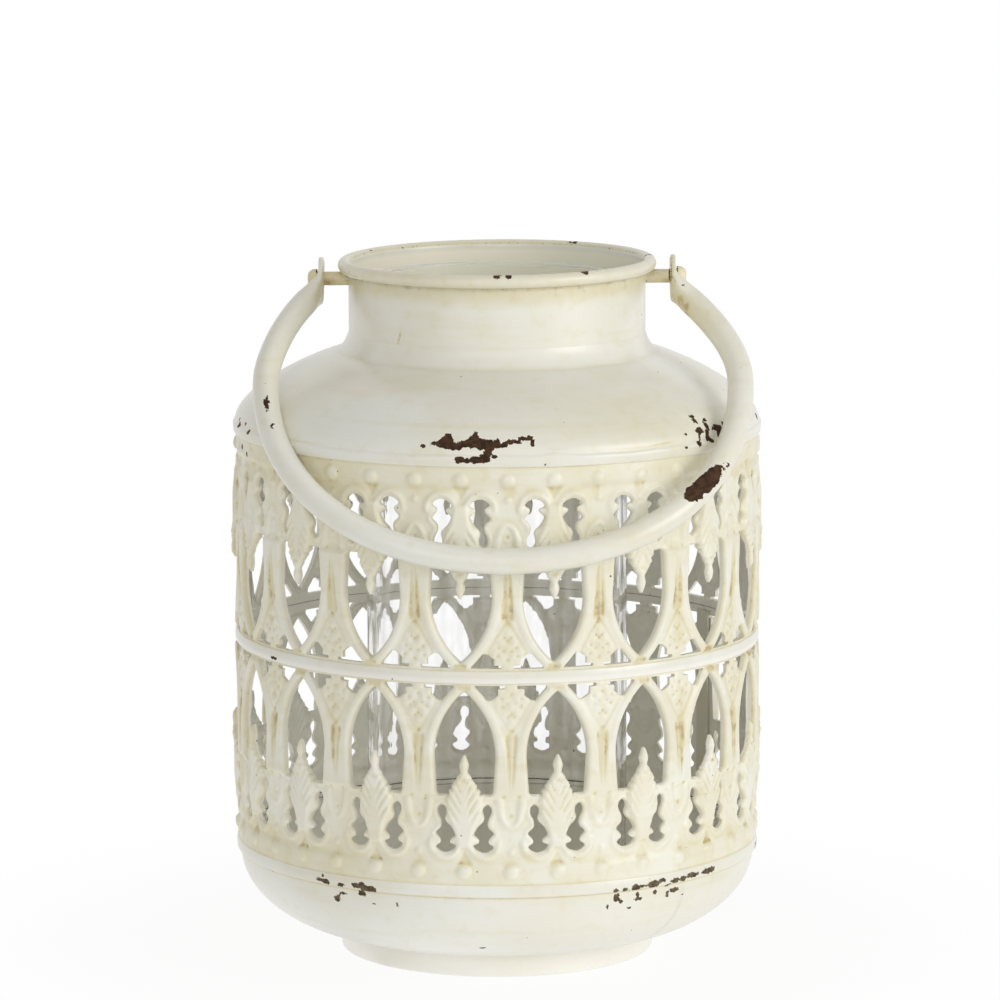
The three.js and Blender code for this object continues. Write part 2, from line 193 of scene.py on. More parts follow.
# Adds the mesh to the scene, ties it to its body, hides the CAD nodes it stands for and gives it its
# material
def addPiece(name, points, faces, finish, nodes, fields=None, body="lantern", crease=38):
    mesh = bpy.data.meshes.new(name)
    mesh.from_pydata((np.asarray(points) * mm).tolist(), [], faces)
    for key, values in (fields or {}).items():
        field = mesh.attributes.new(key, "FLOAT", "POINT")
        field.data.foreach_set("value", np.asarray(values, np.float32))
    shape = bmesh.new()
    shape.from_mesh(mesh)
    bmesh.ops.recalc_face_normals(shape, faces=shape.faces)
    shape.to_mesh(mesh)
    shape.free()
    mesh.shade_smooth()
    mesh.set_sharp_from_angle(angle=math.radians(crease))
    mesh.materials.append(finish)
    piece = bpy.data.objects.new(name, mesh)
    bpy.context.scene.collection.objects.link(piece)
    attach(piece, body)
    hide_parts(*nodes)
    print("made", name, len(mesh.polygons), "faces")


# Rounds the corners of a section; each corner is (radius, height) or (radius, height, bend)
def rounded(corners, steps=4, closed=True):
    line = []
    count = len(corners)
    for i, corner in enumerate(corners):
        here = np.array(corner[:2], float)
        bend = corner[2] if len(corner) > 2 else 0
        if not bend or (not closed and i in (0, count - 1)):
            line.append(here)
            continue
        before = np.array(corners[i - 1][:2], float)
        after = np.array(corners[(i + 1) % count][:2], float)
        back, ahead = before - here, after - here
        reach = min(bend, 0.48 * np.linalg.norm(back), 0.48 * np.linalg.norm(ahead))
        start = here + back / np.linalg.norm(back) * reach
        end = here + ahead / np.linalg.norm(ahead) * reach
        for t in np.linspace(0, 1, steps + 1):
            line.append((1 - t) ** 2 * start + 2 * t * (1 - t) * here + t * t * end)
    return [(float(r), float(z)) for r, z in line]


def bezier(a, b, c, d, steps=16):
    ends = [np.array(p, float) for p in (a, b, c, d)]
    line = []
    for t in np.linspace(0, 1, steps + 1):
        weights = ((1 - t) ** 3, 3 * t * (1 - t) ** 2, 3 * t * t * (1 - t), t**3)
        line.append(tuple(sum(w * p for w, p in zip(weights, ends))))
    return line


# Same line, moved sideways by a wall's thickness
def inside(line, wall):
    spots = np.array(line)
    along = np.gradient(spots, axis=0)
    along /= np.linalg.norm(along, axis=1)[:, None]
    return [tuple(p) for p in spots + wall * np.stack([-along[:, 1], along[:, 0]], 1)]


# Cuts the straight runs between two heights into short steps
def finer(section, low, high, reach=0.6):
    line = [section[0]]
    for a, b in zip(section, section[1:]):
        a, b = np.array(a, float), np.array(b, float)
        count = math.ceil(np.linalg.norm(b - a) / reach) if low < (a[1] + b[1]) / 2 < high else 1
        line += [tuple(a + (b - a) * i / count) for i in range(1, count + 1)]
    return line


# Turns a section round the upright axis: points, faces, and each point's angle and height
def turned(section, sides=256, closed=True):
    line = np.array(section, float)
    turns = np.arange(sides) * 2 * math.pi / sides
    pinhole = 0.02  # radius of the ring that stands for a point on the axis
    radius = np.maximum(line[:, :1], pinhole)
    rows =[radius * np.sin(turns), -radius * np.cos(turns), np.repeat(line[:, 1:2], sides, 1)]
    spots = np.stack(rows, 2).reshape(-1, 3)
    here = np.arange(sides)
    beside = np.roll(here, -1)
    faces = []
    for a in range(len(line) - 1 + closed):
        low, high = a * sides, (a + 1) % len(line) * sides
        faces += np.stack([low + here, low + beside, high + beside, high + here], 1).tolist()
    for a in (0, len(line) - 1):
        if line[a, 0] < pinhole:  # the section starts or ends on the axis
            faces.append((a * sides + here).tolist())
    return spots, faces, np.arctan2(spots[:, 0], -spots[:, 1]), spots[:, 2]


# Radius of a bezier's line at the given heights
def radiusAt(line, height):
    return np.interp(height, [z for r, z in line], [r for r, z in line])


# Distance into the nearest chip plus 2 mm, so that nought is sound paint. A chip is (angle, height,
# half width, half height), on points farther from the axis than least, one number or one per point.
def chipField(spots, chips, least=0.0):
    radius = radiusOf(spots)
    angle = np.degrees(np.arctan2(spots[:, 0], -spots[:, 1]))
    field = np.full(len(spots), -2.0)
    for turn, height, wide, tall in chips:
        side = np.radians((angle - turn + 180) % 360 - 180) * radius
        into = min(wide, tall) * (1 - np.hypot(side / wide, (spots[:, 2] - height) / tall))
        field = np.maximum(field, into)
    return np.where(radius > least, field + 2, 0)


# Ragged groups of chips for the sides that the photograph doesn't show; a group is (angle, height,
# length), and its angle and length are degrees
def chipGroups(seed, groups, spacing=0.9, share=0.72):
    draw, chips = np.random.default_rng(seed), []
    for turn, height, length in groups:
        for step in np.arange(-length / 2, length / 2, spacing):
            wide, tall = draw.uniform(0.6, 2.2), draw.uniform(0.4, 1.6)
            if draw.random() < share:
                chips.append((turn + step, height + draw.normal(0, 0.9), wide, tall))
    return chips


# Cream paint over brown primer: patina, and in places painted shade, where the dirt-and-shade field is high;
# bare where a chip reaches, and the chips field also carries a few painted shadow lines
def creamPaint(name, look):
    finish = Finish(name)
    place = finish.place()
    broad = finish.noise(place, look["cloudSize"], 2.0)
    mottle = finish.noise(place, 6.0, 4.0, 0.6)
    grain = finish.noise(place, 0.9, 2.0)
    strokes = finish.noise(finish.stretched(place, (1.0, 1.0, 7.0)), 46.0, 4.0)  # level brush marks
    colour = finish.blend(finish.between(broad, 0.36, 0.64), look["cream"], look["warmCream"])
    colour = finish.blend(finish.between(strokes, 0.5, 0.72) * look["strokes"], colour, look["patina"])
    colour = finish.blend(finish.between(mottle, 0.5, 0.75) * look["mottle"], colour, look["patina"])
    colour = finish.blend(finish.between(grain, 0.4, 0.75) * 0.08, colour, look["warmCream"])
    grimeAndShade = finish.between(finish.field("grimeAndShade") * (0.6 + 0.8 * mottle), 0.05, 1.0)
    colour = finish.blend(grimeAndShade * look["grimeAndShadeStrength"], colour, look["patina"])
    deep = finish.between(finish.field("grimeAndShade") * finish.noise(place, 4.5, 3.0), 0.38, 0.66)
    colour = finish.blend(deep * look["deepStrength"], colour, look["deepPatina"])
    # painted light: this field turns the colour to the look's inside tint, a lighter, cooler cream standing
    # in for light on insides and undersides
    colour = finish.blend(finish.field("paintedLight"), colour, look["inside"])
    # ragged edges: the noise moves them by about a millimetre
    ragged = finish.noise(place, 1.5, 4.0, 0.62)
    chips = finish.between(finish.field("chips") + 2.4 * ragged, 3.04, 3.14)
    specks = finish.between(finish.noise(place, 2.4, 1.0), look["speckFrom"], look["speckFrom"] + 0.012)
    bare = finish.larger(chips, specks)
    primer = finish.blend(finish.between(finish.noise(place, 2.2), 0.38, 0.62), look["primer"], look["rust"])
    colour = finish.blend(bare, colour, primer)
    rough = look["roughness"] + 0.12 * broad + 0.22 * grimeAndShade
    rough = finish.add("Mix", None, {0: bare, 2: rough, 3: 0.75})
    normal = finish.bump(mottle * 0.4 + grain * 0.12 - bare * 1.5, look["bump"], 0.25)
    sockets = {
        "Base Color": colour, "Roughness": rough, "Metallic": 0.75 * bare, "Normal": normal,
        "IOR": 1.47, "Coat Weight": look["coat"] * (1 - bare), "Coat Roughness": 0.24,
    }
    return finish.surface(finish.add("BsdfPrincipled", None, sockets))


# the inside tint is painted light: a lighter, cooler cream for insides and undersides
paintLook = {
    "cream": tint(241, 240, 230), "warmCream": tint(236, 233, 217), "patina": tint(220, 208, 160),
    "deepPatina": tint(172, 145, 96), "primer": tint(60, 42, 29), "rust": tint(84, 60, 42),
    "cloudSize": 70.0, "strokes": 0.2, "mottle": 0.2, "grimeAndShadeStrength": 0.8, "deepStrength": 0.7,
    "inside": tint(250, 247, 238), "speckFrom": 0.81, "roughness": 0.3, "bump": 0.3, "coat": 0.5,
}
smoothPaint = creamPaint("smooth_cream_paint", paintLook)
# the bowl's chips are drawn in a lighter, greyer primer and rust, painted light from the bright floor below
bowlPaint = creamPaint("bowl_cream_paint", {
    **paintLook, "primer": tint(88, 76, 58), "rust": tint(122, 110, 88),
})
# painted light: the neck's inside takes a brighter, warmer tint, standing in for light falling into the
# mouth
neckPaint = creamPaint("neck_cream_paint", {**paintLook, "inside": tint(255, 250, 231)})
reliefPaint = creamPaint("relief_cream_paint", {
    **paintLook, "cream": tint(243, 241, 226), "warmCream": tint(238, 233, 210), "mottle": 0.3,
    "cloudSize": 26.0, "roughness": 0.4, "speckFrom": 0.80, "coat": 0.3,
})
innerPaint = creamPaint("inner_paint", {
    **paintLook, "cream": tint(228, 223, 208), "warmCream": tint(219, 212, 194), "roughness": 0.5,
    "coat": 0.0,
})
tabPaint = creamPaint("worn_pin_paint", {
    **paintLook, "cream": tint(244, 236, 206), "warmCream": tint(236, 225, 184),
    "patina": tint(204, 184, 132), "deepPatina": tint(176, 112, 56), "mottle": 0.4, "deepStrength": 0.9,
    "roughness": 0.5,
})


# Plain iron with a brown oxide skin
def bareIron():
    finish = Finish("bare_iron")
    blotch = finish.noise(finish.place(), 3.0, 4.0)
    colour = finish.blend(finish.between(blotch, 0.4, 0.62), tint(96, 88, 80), tint(84, 56, 42))
    normal = finish.bump(blotch, 0.4, 0.2)
    sockets = {"Base Color": colour, "Roughness": 0.4 + 0.4 * blotch, "Metallic": 0.8, "Normal": normal}
    return finish.surface(finish.add("BsdfPrincipled", None, sockets))


# Glass tube with fire-polished ends
glass = {"radius": 55.9, "wall": 2.4, "foot": 12.7, "top": 291.1, "polish": 1.1, "index": 1.45}


# Clear drawn glass that lets the lamps through to what it encloses
def clearGlass(s):
    finish = Finish("clear_glass")
    place = finish.place()
    upright = finish.stretched(place, (1.0, 1.0, 0.08))
    draw = finish.noise(upright, 9.0, 1.0) + 0.3 * finish.noise(upright, 2.2, 1.0)
    sockets = {
        "Base Color": (1, 1, 1, 1), "Roughness": 0.0, "IOR": s["index"],
        "Transmission Weight": 1.0, "Normal": finish.bump(draw, 0.18, 0.2),
    }
    clear = finish.add("BsdfPrincipled", None, sockets)
    passing = finish.add("BsdfTransparent", None, {"Color": tint(253, 254, 253)})
    shadow, diffuse = finish.rays("Shadow"), finish.rays("Diffuse")
    # painted highlight: the cut ends are drawn in a pale, opaque shader, standing in for the bright rims of
    # the polished glass
    sockets = {"Base Color": tint(228, 227, 216), "Roughness": 0.2, "IOR": s["index"]}
    paintedEndHighlight = finish.add("BsdfPrincipled", None, sockets)
    middle, half = (s["top"] + s["foot"]) / 2, (s["top"] - s["foot"]) / 2
    above = finish.add("SeparateXYZ", None, {0: place}, "Z") - middle * mm
    fromMiddle = finish.add("Math", {"operation": "ABSOLUTE"}, {0: above})
    ends = finish.between(fromMiddle, (half - 1.3) * mm, (half - 0.5) * mm)
    tube = finish.add("MixShader", None, {0: ends, 1: clear, 2: paintedEndHighlight})
    mask = finish.larger(shadow, diffuse)
    return finish.surface(finish.add("MixShader", None, {0: mask, 1: tube, 2: passing}))


ironFinish = bareIron()
glassFinish = clearGlass(glass)
print("finishes ready")

# Foot ring under the bowl
foot = {"radius": 68.0, "taper": 0.8, "height": 9.6, "wall": 1.2, "chips": [(104, 2, 5), (150, 3, 9)]}


def footPan(s):
    bottom = s["radius"] - s["taper"]
    section = rounded([
        (0, 0), (bottom, 0, 1.2), (s["radius"], s["height"], 0.5),
        (s["radius"] - s["wall"], s["height"], 0.4), (bottom - s["wall"], s["wall"], 1.0), (0, s["wall"]),
    ], closed=False)
    spots, faces, _, height = turned(section, 192, closed=False)
    fields = {
        "grimeAndShade": 0.3 * ease(height, s["height"] - 2.4, s["height"]),
        "chips": chipField(spots, chipGroups(31, s["chips"]), 60),
        # painted light: the whole foot ring takes part of the lighter tint, standing in for light from the
        # floor
        "paintedLight": np.full(len(spots), 0.6),
    }
    addPiece("foot_ring", spots, faces, smoothPaint, ["foot_pan"], fields)


footPan(foot)

# Spun bowl with its raised bead and the ledge for the lower band
bowl = {
    "footRadius": 68.0, "under": 9.9, "wall": 1.2, "floorPull": 21.2, "sidePull": 18.5, "beadBottom": 44.2,
    "beadTop": 49.9, "edge": 112.6, "bandRadius": 110.4, "ledge": 48.1, "bandInside": 109.1, "dents": 0.22,
    "chips": [
        (-41.2, 46.4, 1.8, 0.7), (-39.8, 46, 2.4, 1), (-40.6, 48.2, 0.5, 0.9), (-35.6, 45.6, 1.7, 0.7),
        (-35.6, 41.7, 1.5, 0.5), (-37.6, 38.9, 1.5, 1.2), (-37, 40, 0.8, 0.8), (-31.2, 46.3, 2.7, 1),
        (-30.4, 47.2, 1.2, 0.8), (-29, 45.4, 3.4, 1.3), (-27.6, 45.4, 1.6, 1.4), (-30.6, 42.8, 1.7, 1.2),
        (-22.2, 39.4, 0.5, 0.9), (-27.8, 38.9, 0.5, 0.3), (26.2, 45.1, 1, 0.9), (27, 42.3, 1.4, 0.9),
        (26.8, 41, 1.6, 1), (28, 39.7, 1, 0.9), (24.8, 38.4, 0.4, 0.9), (30.2, 36.4, 1, 0.6),
        (28.6, 45.2, 1.4, 0.6), (31.2, 45.6, 2.3, 1.3), (33.2, 45.7, 1.1, 0.4), (32.2, 41.7, 0.7, 1.3),
        (32.6, 40, 1.8, 0.6), (36, 46, 3, 1.2), (35.6, 45.2, 1.9, 0.9), (38, 46.9, 1.9, 0.8),
        (36.8, 41.9, 1, 0.9), (41.8, 45.7, 2.2, 1), (44, 46, 2.2, 1), (47, 46.6, 3.5, 1.1),
        (42.2, 41.3, 2.7, 0.9), (40.4, 40, 0.8, 1.1), (40, 44.2, 1.2, 0.6), (52.6, 46.6, 4, 1.1),
        (54, 47, 1.9, 0.9), (45.2, 38.3, 0.6, 0.5), (-3.5, 19.4, 1.4, 0.4),
    ],
    "moreChips": [(118, 45, 14), (171, 33, 4), (-128, 45.5, 10), (-163, 47, 6), (84, 46, 5), (146, 44, 4)],
}


def spunBowl(s):
    top, under, wall = s["bandRadius"] + 0.3, s["under"], s["wall"]
    side = bezier(
        (s["footRadius"], under), (s["footRadius"] + s["floorPull"], under + s["floorPull"] / 12),
        (top, s["beadBottom"] - s["sidePull"]), (top, s["beadBottom"] - 0.4), 76,
    )
    middle, seat = (s["beadBottom"] + s["beadTop"]) / 2, s["bandRadius"] + 0.6
    bead = rounded([
        (top, s["beadBottom"] - 0.2), (s["edge"] - 0.3, s["beadBottom"] + 0.2, 0.8),
        (s["edge"], middle, 1.6), (s["edge"] - 0.4, s["beadTop"], 0.9), (seat, s["beadTop"], 0.3),
        (seat, s["ledge"]), (s["bandInside"] - 0.3, s["ledge"], 0.4),
    ], closed=False)
    lining = inside(side, wall)[::4]
    section = [(0, under), (s["footRadius"] - 4, under)] + side + bead
    section += lining[1:][::-1] + [(s["footRadius"] - 2, under + wall), (0, under + wall)]
    section = finer(section, s["beadBottom"], s["beadTop"])
    spots, faces, angle, height = turned(section, 900, closed=False)
    radius = radiusOf(spots)
    onSide = ease(radius, 70, 84) * (1 - ease(height, 38, 43))
    swell(spots, s["dents"] * waves(angle, height, 4) * onSide)
    # patina under and over the bead, and where the bowl meets the foot
    seam = 0.8 * bell(height - s["beadBottom"], 0.7) + 0.7 * ease(height, s["beadTop"] - 0.7, s["beadTop"])
    skin = radiusAt(side, height) - 0.6
    grimeAndShade = (radius > skin) * seam + 0.35 * bell(radius - s["footRadius"] - 3, 3.5) * (height < 16)
    fields = {
        "grimeAndShade": np.clip(grimeAndShade, 0, 1),
        "chips": chipField(spots, s["chips"] + chipGroups(33, s["moreChips"]), skin),
        # painted light: the bowl's inner face takes the lighter, cooler tint
        "paintedLight": 0.9 * (radius < skin),
    }
    addPiece("spun_bowl", spots, faces, bowlPaint, ["base_bowl"], fields)


spunBowl(bowl)

# Tray that holds the foot of the glass, with three rivets through the bowl's floor
tray = {
    "bottom": 11.4, "wall": 1.0, "rim": 12.0, "inside": 56.6, "rivets": 3, "rivetCircle": 45.0,
    "rivetHead": 3.0, "rivetRise": 1.0, "rivetFoot": 8.8, "rivetShank": 1.5,
}


def candleTray(s):
    outer, top, floor = s["inside"] + s["wall"], s["bottom"] + s["rim"], s["bottom"] + s["wall"]
    section = rounded([
        (0, s["bottom"]), (outer, s["bottom"], 1.6), (outer, top, 0.5),
        (s["inside"], top, 0.5), (s["inside"], floor, 0.3), (0, floor),
    ], closed=False)
    spots, faces, _, _ = turned(section, 192, closed=False)
    fields = {"grimeAndShade": 0.7 * bell(radiusOf(spots) - s["inside"], 3)}
    addPiece("candle_tray_pan", spots, faces, innerPaint, ["candle_tray"], fields)
    head, shank, rise, seat = s["rivetHead"], s["rivetShank"], s["rivetRise"], floor + 0.3
    rivet = rounded([
        (0, s["rivetFoot"] + 0.2), (head, s["rivetFoot"] + 0.2, 0.4), (head, s["rivetFoot"] + 0.8),
        (shank, s["rivetFoot"] + 0.8), (shank, seat), (head, seat), (head * 0.8, seat + rise * 0.75, 1.2),
        (0, seat + rise * 0.8),
    ], closed=False)
    for i in range(s["rivets"]):
        turn = math.pi / 2 + i * 2 * math.pi / s["rivets"]
        spots, faces, _, _ = turned(rivet, 24, closed=False)
        spots += np.array([s["rivetCircle"] * math.cos(turn), s["rivetCircle"] * math.sin(turn), 0])
        node = "tray_rivet_%d" % (i + 1)
        addPiece("rivet_head_%d" % (i + 1), spots, faces, ironFinish, [node])


candleTray(tray)


# Glass tube standing in the tray
def glassTube(s):
    inner = s["radius"] - s["wall"]
    section = rounded([
        (s["radius"], s["foot"], s["polish"]), (s["radius"], s["top"], s["polish"]),
        (inner, s["top"], s["polish"]), (inner, s["foot"], s["polish"]),
    ], 6)
    section = finer(section + section[:1], s["foot"] + 2, s["top"] - 2, 5)[:-1]
    spots, faces, _, _ = turned(section)
    nodes = ["glass_cylinder"]
    addPiece("glass_tube", spots, faces, glassFinish, nodes, body="glass", crease=80)


glassTube(glass)

# Filigree band: one pressed period repeated round the ring. Across is measured from the middle of an
# arch and up from the strip's edge beside the bead; the outlines of tip and spandrel, the petals and
# the pits are (across from the middle of a column, up).
filigree = {
    "radius": 110.4, "wall": 1.3, "height": 89.2, "tuck": 1.5, "periods": 18, "cell": 0.68, "slit": 0.3,
    "seamAt": 110, "archSill": 38.1, "archHalfSill": 11.8, "archSpring": 54.2, "archHalfWidth": 12.8,
    "archRadius": 35.9, "lobeFoot": 17.6, "lobePitch": 5.1, "lobeSweep": 5.4, "curl": 2.0, "ground": 0.85,
    "bossUp": 5.6, "bossRadius": 3.0, "beadUp": 13.8, "scallopAt": (8.3, 17.4), "scallopRadius": 6.0,
    "eyeletUp": 29.2, "tongueUp": 36.2, "collarUp": 37.1, "grooveFoot": 38.5, "knotUp": 44.6,
    "finialUp": 50.9, "railUp": 84.0, "shadowLineUp": 0.54,
    "drop": [
        (9.5, 33.8), (7.9, 32.6), (7.6, 30.6), (8.2, 28.2), (7.6, 26.4), (5.7, 24.6), (4.4, 22.4),
        (3.9, 21.2), (4.1, 20.6), (5.5, 19.4), (6.1, 18.6), (5.8, 17.6), (4.2, 17.0), (3.7, 16.4),
        (4.1, 15.4), (5.6, 14.2), (8.3, 13.4), (10.6, 14.2), (11.9, 15.3), (12.1, 15.9), (11.6, 16.6),
        (10.3, 17.3), (10.0, 18.3), (10.6, 19.6), (11.9, 20.9), (12.2, 21.6), (11.7, 22.4), (10.3, 23.6),
        (9.6, 25.2), (10.0, 27.6), (11.1, 29.6), (11.3, 31.6), (10.8, 33.0),
    ],
    "leaf": [
        (2.6, 15.5), (3.6, 19.8), (5.0, 23.5), (6.6, 27.0), (7.7, 31.0), (7.8, 34.5), (7.4, 37.8),
        (6.0, 41.0), (4.5, 43.9), (2.9, 46.0), (1.6, 47.4), (1.4, 48.3), (1.8, 49.6), (2.0, 50.8),
        (1.5, 52.6), (0.7, 54.4), (0.0, 55.6),
    ],
    "trunk": [(16, 4.2), (21, 3.8), (26, 2.3), (29.3, 1.6), (34.6, 0.3), (46, 0.1)],
    "hollow": [(0, 14.4), (-3.4, 8.2), (3.4, 8.2)],
    "tip": [(2.3, 84.3), (2.3, 83.0), (5.4, 82.8), (5.4, 80.2), (8.4, 78.0), (11.8, 78.0), (16.8, 84.3)],
    "spandrel": [
        (0, 64.6), (3.3, 69.4), (7.6, 77.2), (6.8, 79.4), (4.9, 81.2), (3.4, 82.6), (2.4, 84.3), (0, 84.5),
    ],
    "petals": [
        ((0, 69.0), 1.5), ((0, 75.3), 1.7), ((2.6, 73.2), 1.3), ((5.0, 76.6), 1.4), ((2.4, 78.4), 1.4),
        ((5.8, 79.2), 1.0),
    ],
    "pits": [
        ((0, 72.3), 0.6), ((1.3, 71.2), 0.5), ((3.7, 75.4), 0.6), ((1.7, 76.8), 0.5), ((4.1, 78.9), 0.6),
        ((0, 80.6), 0.8), ((0, 65.2), 0.8),
    ],
}


# Signed distance to a closed outline, below zero inside
def shapeDistance(outline, x, y):
    best, within = np.full(np.shape(x), 1e9), np.zeros(np.shape(x), bool)
    for (ax, ay), (bx, by) in zip(outline, outline[1:] + outline[:1]):
        ex, ey = bx - ax, by - ay
        share = np.clip(((x - ax) * ex + (y - ay) * ey) / max(ex * ex + ey * ey, 1e-9), 0, 1)
        best = np.minimum(best, np.hypot(x - ax - share * ex, y - ay - share * ey))
        if ey:
            within ^= ((ay > y) != (by > y)) & (x < ax + (y - ay) * ex / ey)
    return np.where(within, -best, best)


# Closed smooth line through the points
def smoothLoop(points, steps=4):
    spots, loop = np.array(points, float), []
    for i in range(len(spots)):
        a, b, c, d = (spots[(i + k) % len(spots)] for k in (-1, 0, 1, 2))
        for t in np.arange(steps) / steps:
            bend, turn = 2 * a - 5 * b + 4 * c - d, 3 * b - a - 3 * c + d
            loop.append(tuple(0.5 * (2 * b + (c - a) * t + bend * t**2 + turn * t**3)))
    return loop


def mirrored(half):
    return half + [(-x, y) for x, y in half[::-1] if x > 1e-6]


# One period of the strip: its openings, and its relief pressed feature by feature
class Strip:
    def __init__(self, s):
        self.s = s
        self.width = 2 * math.pi * s["radius"] / s["periods"]
        radius, spring = s["archRadius"], s["archSpring"]
        lean = s["archHalfWidth"] - radius
        sweep = np.linspace(0, math.acos(-lean / radius), 14)
        arc = [(lean + radius * math.cos(t), spring + radius * math.sin(t)) for t in sweep]
        sill = [(s["archHalfSill"] - 0.7, s["archSill"]), (s["archHalfSill"], s["archSill"] + 0.8)]
        self.arch = mirrored(sill + arc)
        self.drop = smoothLoop(s["drop"])
        self.leafShape = mirrored(s["leaf"])
        self.tip = [(self.width / 2 - c, up) for c, up in s["tip"]]

    # Lobes of the leaf leave its stem steeply and bend outwards, and their ends make its toothed edge
    def lobes(self, a, up):
        s = self.s
        climb = up - s["lobeSweep"] * a**0.55 - s["lobeFoot"]
        return np.abs(np.sin(math.pi * climb / s["lobePitch"])) ** 0.6

    def leafDistance(self, a, up):
        below = 1 - ease(up, 45, 47)
        teeth = ease(up, 18, 23) * below * (1 - self.lobes(a, up))
        fine = ease(up, 36, 38) * below * np.sin(math.pi * up / 2.2) ** 2
        return shapeDistance(self.leafShape, a, up) + 0.6 * teeth + 0.5 * fine

    # Distance to the nearest opening: below zero in an opening, above zero on the iron
    def iron(self, across, up):
        self.a, self.up = np.abs(across), up
        self.c = self.width / 2 - self.a
        self.archAway = shapeDistance(self.arch, self.a, up)
        self.leafAway = self.leafDistance(self.a, up)
        self.dropAway = shapeDistance(self.drop, self.a, up)
        tip = np.maximum(shapeDistance(self.tip, self.a, up), 4.2 - self.archAway)
        return np.minimum(np.minimum(np.maximum(self.archAway, -self.leafAway), self.dropAway), tip)

    # Height of the relief over the plain sheet, and how much patina lies in it
    def relief(self, across, up):
        away = self.iron(across, up)
        self.lift = self.s["ground"] + 0.8 * (1 - ease(up, 6.5, 9.5))
        self.patina = np.zeros(up.shape)
        self.pressColumn(self.s, self.c, up)
        self.pressSpandrel(self.s, self.c, up)
        self.pressTongue(self.s, self.c, up)
        self.pressScallops(self.s, self.a, self.c, up)
        self.pressLeaf(self.s, self.a, self.c, up)
        self.pressRail(self.s, self.a, up)
        self.lift -= 0.6 * (1 - ease(away, 0.0, 0.85))  # rounded edges of the openings
        return np.clip(self.lift, -0.1, 4.0), np.clip(self.patina, 0, 1)

    # Smooth shaft between the arches, and the raised border that goes on round them
    def pressColumn(self, s, c, up):
        shaft = ease(up, 37.4, 38.8) * ease(self.archAway, -0.4, 0.9)
        self.lift += shaft * (1.75 - 0.12 * (1 - ease(self.archAway, 0.8, 2.2)))
        sunk = ease(self.archAway, 3.1, 4.0) * ease(up, 55, 63)
        self.lift -= 0.6 * sunk
        self.patina += 0.12 * sunk
        # groove that widens upwards, with a thin ridge along its middle
        foot = s["grooveFoot"]
        wide = 0.55 + 0.075 * np.clip(up - foot, 0, 30)
        groove = ease(wide - c, -0.4, 0.4) * ease(up, foot - 0.3, foot + 1.3) * (1 - ease(up, 62.5, 65.5))
        self.lift += groove * (-0.5 - 0.4 * ease(up, 42, 52) + 0.55 * bell(c, 0.2 + 0.25 * wide))
        self.patina += groove * (0.2 + 0.22 * ease(up, 46, 56))
        self.patina += 0.6 * bell(c - wide, 0.4) * ease(up, 39, 44) * (1 - ease(up, 61, 64))
        self.patina += 0.3 * bell(c, 2.8) * ease(up, 40, 50) * (1 - ease(up, 76, 82))

    # Field over the column: a shallow outline, small petals and pits
    def pressSpandrel(self, s, c, up):
        spandrel = shapeDistance(mirrored(s["spandrel"]), c, up)
        outline = bell(spandrel - 0.2, 0.6) * ease(self.archAway, 1.5, 3.0) * (1 - ease(up, 80, 82))
        self.lift -= 0.3 * outline
        self.patina += 0.4 * outline
        self.lift -= 0.25 * ease(-spandrel, -0.3, 0.9)
        for centre, size in s["petals"]:
            self.lift += 0.55 * spotAt(c, up, centre, size)
        for centre, size in s["pits"]:
            self.lift -= 0.75 * spotAt(c, up, centre, size)
            self.patina += 0.55 * spotAt(c, up, centre, size)

    # Collar line, tongue under the column and its eyelet
    def pressTongue(self, s, c, up):
        eyelet, hole, root = (0, s["eyeletUp"]), (3.1, s["collarUp"] + 0.1), s["tongueUp"]
        self.lift += 0.7 * bell(up - s["collarUp"], 0.55) * ease(self.leafAway, 0.3, 1.2)
        outer, inner = np.hypot(c / 6.6, (root - up) / 13.0), np.hypot(c / 3.4, (root - up) / 11.2)
        below, within = 1 - ease(up, root - 0.4, root + 0.6), 1 - ease(inner, 0.8, 1.0)
        tongue = (1 - ease(outer, 0.86, 1.0)) * ease(inner, 0.92, 1.12) * below
        self.lift += 0.9 * tongue - 0.3 * within * below
        self.lift += 0.5 * hump(np.hypot(c, (up - eyelet[1]) / 1.5), 2.0)
        self.lift -= 0.85 * spotAt(c, up, eyelet, 0.75) + 0.8 * spotAt(c, up, hole, 0.7)
        self.patina += 0.8 * spotAt(c, up, eyelet, 1.0) + 0.8 * spotAt(c, up, hole, 0.8)
        self.patina += 0.3 * bell(outer - 1.06, 0.08) * below + 0.12 * within * below

    # Scallop round the foot of each drop, lip of the drop, bead and hollow between them, and bosses
    def pressScallops(self, s, a, c, up):
        ring = np.hypot(a - s["scallopAt"][0], up - s["scallopAt"][1])
        lower = 1 - ease(up, 17.5, 21)
        scallop = 1.15 * bell(ring - s["scallopRadius"], 0.95) + 0.3 * (1 - ease(ring, 4.6, 5.6))
        self.lift += scallop * lower
        self.lift += 0.6 * bell(self.dropAway - 1.0, 0.7) * ease(up, 17, 20)
        self.patina += 0.2 * bell(ring - s["scallopRadius"] - 1.4, 0.9) * lower
        self.lift += 0.9 * hump(np.hypot(c, up - s["beadUp"]), 1.5)
        hollow = shapeDistance(s["hollow"], a, up)
        self.lift -= 0.65 * ease(-hollow, -0.5, 0.8)
        self.patina += 0.35 * ease(-hollow, -0.8, 0.8)
        self.patina += 0.3 * ease(6.0 - np.hypot(c, up - 11), 0, 5) * (1 - ease(up, 12, 16))
        self.bosses = 0
        for beside in (a, c):
            away = np.hypot(beside, up - s["bossUp"])
            self.lift += 1.15 * hump(away, s["bossRadius"])
            self.patina += 0.08 * bell(away - s["bossRadius"] - 0.8, 0.9)
            self.bosses = self.bosses + hump(away, s["bossRadius"] + 0.2)

